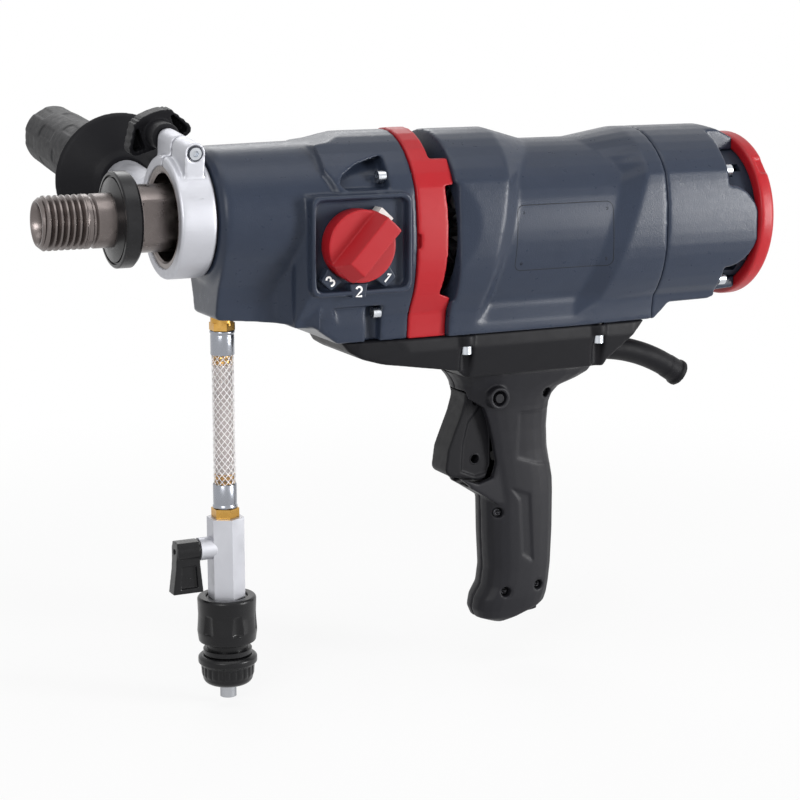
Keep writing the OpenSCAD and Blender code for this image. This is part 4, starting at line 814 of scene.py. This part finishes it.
def spindleRows():
    s = spindleSet
    rows = []
    for (x0, r0), (x1, r1) in zip(spindleSteps, spindleSteps[1:]):
        threaded = x1 >= x0 and r0 > s["noseRadius"] and x0 < s["threadEnd"]
        collar = r0 == r1 and r0 > s["collarRadius"]
        step = s["threadStep"] if threaded else s["collarStep"] if collar else s["plainStep"]
        steps = max(1, int(math.hypot(x1 - x0, r1 - r0) / step))
        rows += [(x0 + (x1 - x0) * i / steps, r0 + (r1 - r0) * i / steps) for i in range(steps)]
    return rows + [spindleSteps[-1]]


# radius with the thread and the wrench flats cut in, at a place along the axis and an angle
def spindleRadius(x, r, a, outside):
    s = spindleSet
    if outside and x < s["threadEnd"] and r > s["noseRadius"]:
        phase = ((x - s["tip"]) / s["pitch"] + a / (2 * math.pi)) % 1
        # flat crest, sloping flanks
        ridge = min(1, max(0, s["crestShare"] - s["flankSlope"] * abs(phase - 0.5)))
        fade = min(1, (s["threadEnd"] - x) / s["runOut"])
        r = min(r, s["crest"] - s["depth"] * (1 - ridge) * fade)
    if s["flatFrom"] < x < s["flatTo"]:
        r = min(r, s["flat"] / max(abs(math.cos(a)), 1e-6))
    return r


def turnSpindle():
    s = spindleSet
    loops = []
    outside = False
    for x, r in spindleRows():
        outside = outside or (x < s["tip"] + s["tipEdge"] and r > s["noseRadius"])
        # each column of points follows the thread's own turn
        twist = (min(x, s["threadEnd"]) - s["tip"]) / s["pitch"] if outside else 0
        loop = []
        for k in range(s["sides"]):
            a = 2 * math.pi * (k / s["sides"] - twist)
            radius = spindleRadius(x, r, a, outside)
            loop.append((x * mm, radius * math.cos(a) * mm, radius * math.sin(a) * mm))
        loops.append(loop)
    mesh = loftMesh("spindle_turned", loops)
    piece = meshObject("spindle_turned", mesh, "spindleSteel", bodyOfNode["spindle"])
    mesh.set_sharp_from_angle(angle=math.radians(s["sharp"]))
    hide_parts("spindle")


turnSpindle()
print("spindle turned")

# raised number pads round the selector, drawn as seen from its side
padSet = {"x": 104.5, "z": -16.5, "floor": -42.6, "top": -49.6, "from": 22.7, "to": 31, "wide": 12.4,
          "narrow": 9, "shoulder": 0.6, "shoulderDrop": 3, "taper": 0.94, "bevel": 0.7, "bevelSteps": 3,
          "bevelShape": 0.6, "stroke": 0.62, "strokeRounds": 3, "flatten": 0.25, "sink": 0.02, "drop": 0.5,
          "weld": 1e-7, "marks": [("3", -42.5), ("2", 0), ("1", 42.5)]}


def bow(u, v, wide, high, first, last, count=9):
    turns = [math.radians(first + (last - first) * k / (count - 1)) for k in range(count)]
    return [(u + wide * math.cos(t), v + high * math.sin(t)) for t in turns]


figures = {
    "1": [(-1.3, 1.5), (0.4, 2.9), (0.4, -2.9)],
    "2": bow(0, 1.2, 1.75, 1.7, 165, -35) + [(-1.8, -2.8), (1.9, -2.8)],
    "3": bow(0, 1.5, 1.5, 1.4, 150, -80) + bow(0, -1.4, 1.75, 1.5, 80, -150),
}


# one pad as a tapered block with a soft rim
def padBlock(angle):
    p = padSet
    wide, narrow, shoulder = p["wide"] / 2, p["narrow"] / 2, p["wide"] / 2 - p["shoulder"]
    inner, outer, bend = -p["from"], -p["to"], -p["from"] - p["shoulderDrop"]
    outline = [(-wide, inner), (wide, inner), (shoulder, bend), (narrow, outer), (-narrow, outer),
               (-shoulder, bend)]
    block = bmesh.new()
    low = [block.verts.new((u * mm, p["floor"] * mm, v * mm)) for u, v in outline]
    high = [block.verts.new((u * p["taper"] * mm, p["top"] * mm, v * mm)) for u, v in outline]
    block.faces.new(low)
    block.faces.new(high)
    for k in range(len(outline)):
        after = (k + 1) % len(outline)
        block.faces.new((low[k], low[after], high[after], high[k]))
    bmesh.ops.recalc_face_normals(block, faces=block.faces)
    rim = [e for e in block.edges if e.verts[0] in high or e.verts[1] in high]
    bmesh.ops.bevel(block, geom=rim, offset=p["bevel"] * mm, segments=p["bevelSteps"], affect="EDGES",
                    profile=p["bevelShape"])
    turn = Matrix.Rotation(-math.radians(angle), 4, "Y")
    block.transform(Matrix.Translation((p["x"] * mm, 0, p["z"] * mm)) @ turn)
    mesh = bpy.data.meshes.new("pad")
    block.to_mesh(mesh)
    block.free()
    return mesh


# a figure is one stroke, pressed flat on its pad, and leans with the outer ones
def padFigure(mark, angle):
    p = padSet
    stroke = bpy.data.curves.new("figure", "CURVE")
    stroke.dimensions = "3D"
    stroke.bevel_depth = p["stroke"] * mm
    stroke.bevel_resolution = p["strokeRounds"]
    stroke.use_fill_caps = True
    line = stroke.splines.new("POLY")
    line.points.add(len(figures[mark]) - 1)
    for point, (u, v) in zip(line.points, figures[mark]):
        point.co = (u * mm, v * mm, 0, 1)
    holder = bpy.data.objects.new("figure", stroke)
    scene.collection.objects.link(holder)
    flat = evaluated(holder)
    bpy.data.objects.remove(holder)
    flat.transform(Matrix.Diagonal((1, 1, p["flatten"], 1)))
    a = math.radians(angle)
    stand = Matrix.Rotation(math.radians(90), 4, "X")
    lean = Matrix.Rotation(a, 4, "Y")
    middle = (p["from"] + p["to"]) / 2 + p["drop"]
    spot = Matrix.Translation(((p["x"] + middle * math.sin(a)) * mm, (p["top"] - p["sink"]) * mm,
                               (p["z"] - middle * math.cos(a)) * mm))
    flat.transform(spot @ lean @ stand)
    return flat


def makePads():
    body = bodyOfNode["gear_housing"]
    pads = joinMeshes("number_pads", [padBlock(angle) for mark, angle in padSet["marks"]])
    meshObject("number_pads", pads, "housingPaint", body, smooth=False)
    digits = joinMeshes("pad_figures", [padFigure(mark, angle) for mark, angle in padSet["marks"]],
                        padSet["weld"])
    meshObject("pad_figures", digits, "numberPaint", body, smooth=False)


makePads()
print("number pads made")

headSet = {"sides": 28, "socketSides": 6, "socketLift": 0.6}


# round heads with a sunk hexagon, one on each point of the carrier, looking the way given for that point
def headTree():
    tree, sockets = geometryTree("socketHeads", [
        ("Radius", "NodeSocketFloat"), ("Height", "NodeSocketFloat"), ("Socket", "NodeSocketFloat"),
        ("Finish", "NodeSocketMaterial")])
    new, link = tree.nodes.new, tree.links.new
    given = new("NodeGroupInput")
    out = new("NodeGroupOutput")
    head = new("GeometryNodeMeshCylinder")
    head.inputs["Vertices"].default_value = headSet["sides"]
    link(given.outputs["Radius"], head.inputs["Radius"])
    link(given.outputs["Height"], head.inputs["Depth"])
    hollow = new("GeometryNodeMeshCylinder")
    hollow.inputs["Vertices"].default_value = headSet["socketSides"]
    link(given.outputs["Socket"], hollow.inputs["Radius"])
    link(given.outputs["Height"], hollow.inputs["Depth"])
    raised = new("ShaderNodeCombineXYZ")
    lift = new("ShaderNodeMath")
    lift.operation = "MULTIPLY"
    lift.inputs[1].default_value = headSet["socketLift"]
    link(given.outputs["Height"], lift.inputs[0])
    link(lift.outputs[0], raised.inputs["Z"])
    move = new("GeometryNodeTransform")
    link(hollow.outputs["Mesh"], move.inputs["Geometry"])
    link(raised.outputs[0], move.inputs["Translation"])
    cut = new("GeometryNodeMeshBoolean")
    cut.operation = "DIFFERENCE"
    link(head.outputs["Mesh"], cut.inputs["Mesh 1"])
    link(move.outputs[0], cut.inputs["Mesh 2"])
    look = new("GeometryNodeInputNamedAttribute")
    look.data_type = "FLOAT_VECTOR"
    look.inputs["Name"].default_value = "look"
    align = new("FunctionNodeAlignRotationToVector")
    align.axis = "Z"
    link(look.outputs["Attribute"], align.inputs["Vector"])
    spread = new("GeometryNodeInstanceOnPoints")
    link(given.outputs["Geometry"], spread.inputs["Points"])
    link(cut.outputs["Mesh"], spread.inputs["Instance"])
    link(align.outputs[0], spread.inputs["Rotation"])
    real = new("GeometryNodeRealizeInstances")
    link(spread.outputs[0], real.inputs[0])
    paint = new("GeometryNodeSetMaterial")
    link(real.outputs[0], paint.inputs["Geometry"])
    link(given.outputs["Finish"], paint.inputs["Material"])
    link(paint.outputs[0], out.inputs[0])
    return tree, sockets


# bare name plate: a fine groove drawn as a dark strip, its dark colour painted shade, and four pins pressed
# on the waist of the motor housing
plateSet = {"x0": 212.8, "x1": 281, "z0": -39, "z1": 1.5, "corner": 4.5, "cornerSteps": 8, "step": 1.2,
            "line": 0.75, "lift": 0.05, "sink": -0.1, "flat": 0.55,
            "pin": 0.95, "pinInset": 4.4, "pinSink": -0.25, "pinHeight": 0.5, "pinSocket": 0.45,
            "rayY": -120}


def skinTree(nodeName):
    skin = shells[nodeName].data
    return BVHTree.FromPolygons([v.co for v in skin.vertices], [tuple(f.vertices) for f in skin.polygons])


# point on the near side of a skin, lifted off it, and the way it faces
def onSide(tree, x, z, lift):
    start = Vector((x * mm, plateSet["rayY"] * mm, z * mm))
    spot, normal = tree.ray_cast(start, Vector((0, 1, 0)))[:2]
    return spot + normal * lift * mm, normal


def makePlate():
    p = plateSet
    tree = skinTree("motor_housing")
    path = []
    corner, count = p["corner"], p["cornerSteps"]
    left, right, low, high = p["x0"] + corner, p["x1"] - corner, p["z0"] + corner, p["z1"] - corner
    for cx, cz, end in ((right, high, 90), (left, high, 180), (left, low, 270), (right, low, 360)):
        for k in range(count + 1):
            a = math.radians(end - 90 + 90 * k / count)
            path.append((cx + corner * math.cos(a), cz + corner * math.sin(a)))
    fine = []
    for (ax, az), (bx, bz) in zip(path, path[1:] + path[:1]):
        steps = max(1, int(math.hypot(bx - ax, bz - az) / p["step"]))
        fine += [(ax + (bx - ax) * i / steps, az + (bz - az) * i / steps) for i in range(steps)]
    work = bmesh.new()
    rows = []
    for i, (x, z) in enumerate(fine):
        (px, pz), (qx, qz) = fine[i - 1], fine[(i + 1) % len(fine)]
        length = math.hypot(qx - px, qz - pz)
        sx, sz = -(qz - pz) / length * p["line"] / 2, (qx - px) / length * p["line"] / 2
        rows.append([work.verts.new(onSide(tree, x + k * sx, z + k * sz, lift)[0])
                     for k, lift in ((-1, p["sink"]), (-p["flat"], p["lift"]),
                                     (p["flat"], p["lift"]), (1, p["sink"]))])
    for a, b in zip(rows, rows[1:] + rows[:1]):
        for k in range(len(a) - 1):
            work.faces.new((a[k], a[k + 1], b[k + 1], b[k]))
    bmesh.ops.recalc_face_normals(work, faces=work.faces)
    if sum(f.normal.y for f in work.faces) > 0:
        bmesh.ops.reverse_faces(work, faces=work.faces)
    mesh = bpy.data.meshes.new("plate_groove")
    work.to_mesh(mesh)
    work.free()
    meshObject("plate_groove", mesh, "paintedGrooveShadeAndPins", bodyOfNode["motor_housing"])
    spots = [(x, z) for x in (p["x0"] + p["pinInset"], p["x1"] - p["pinInset"])
             for z in (p["z0"] + p["pinInset"], p["z1"] - p["pinInset"])]
    places = [onSide(tree, x, z, p["pinSink"]) for x, z in spots]
    studTree, sockets = headTree()
    growNodes(studTree, sockets, {
        "Radius": p["pin"] * mm, "Height": p["pinHeight"] * mm, "Socket": p["pin"] * p["pinSocket"] * mm,
        "Finish": finish["paintedGrooveShadeAndPins"]}, "plate_pins", "paintedGrooveShadeAndPins", bodyOfNode["motor_housing"],
        places)


makePlate()
print("plate outline made")

# screws that close the grip, deep in their holes
gripScrews = {"holes": [(219.2, -199.7), (224.4, -253), (251.2, -122.4), (248.3, -250.9)], "y": -11.4,
              "radius": 2.9, "height": 2.4, "socket": 1.3}


def makeGripScrews():
    g = gripScrews
    tree, sockets = headTree()
    places = [(Vector((x * mm, g["y"] * mm, z * mm)), Vector((0, -1, 0))) for x, z in g["holes"]]
    growNodes(tree, sockets, {
        "Radius": g["radius"] * mm, "Height": g["height"] * mm, "Socket": g["socket"] * mm,
        "Finish": finish["blackenedSteel"]}, "grip_screws", "blackenedSteel", bodyOfNode["handle_left"],
        places)


makeGripScrews()
print("grip screws made")
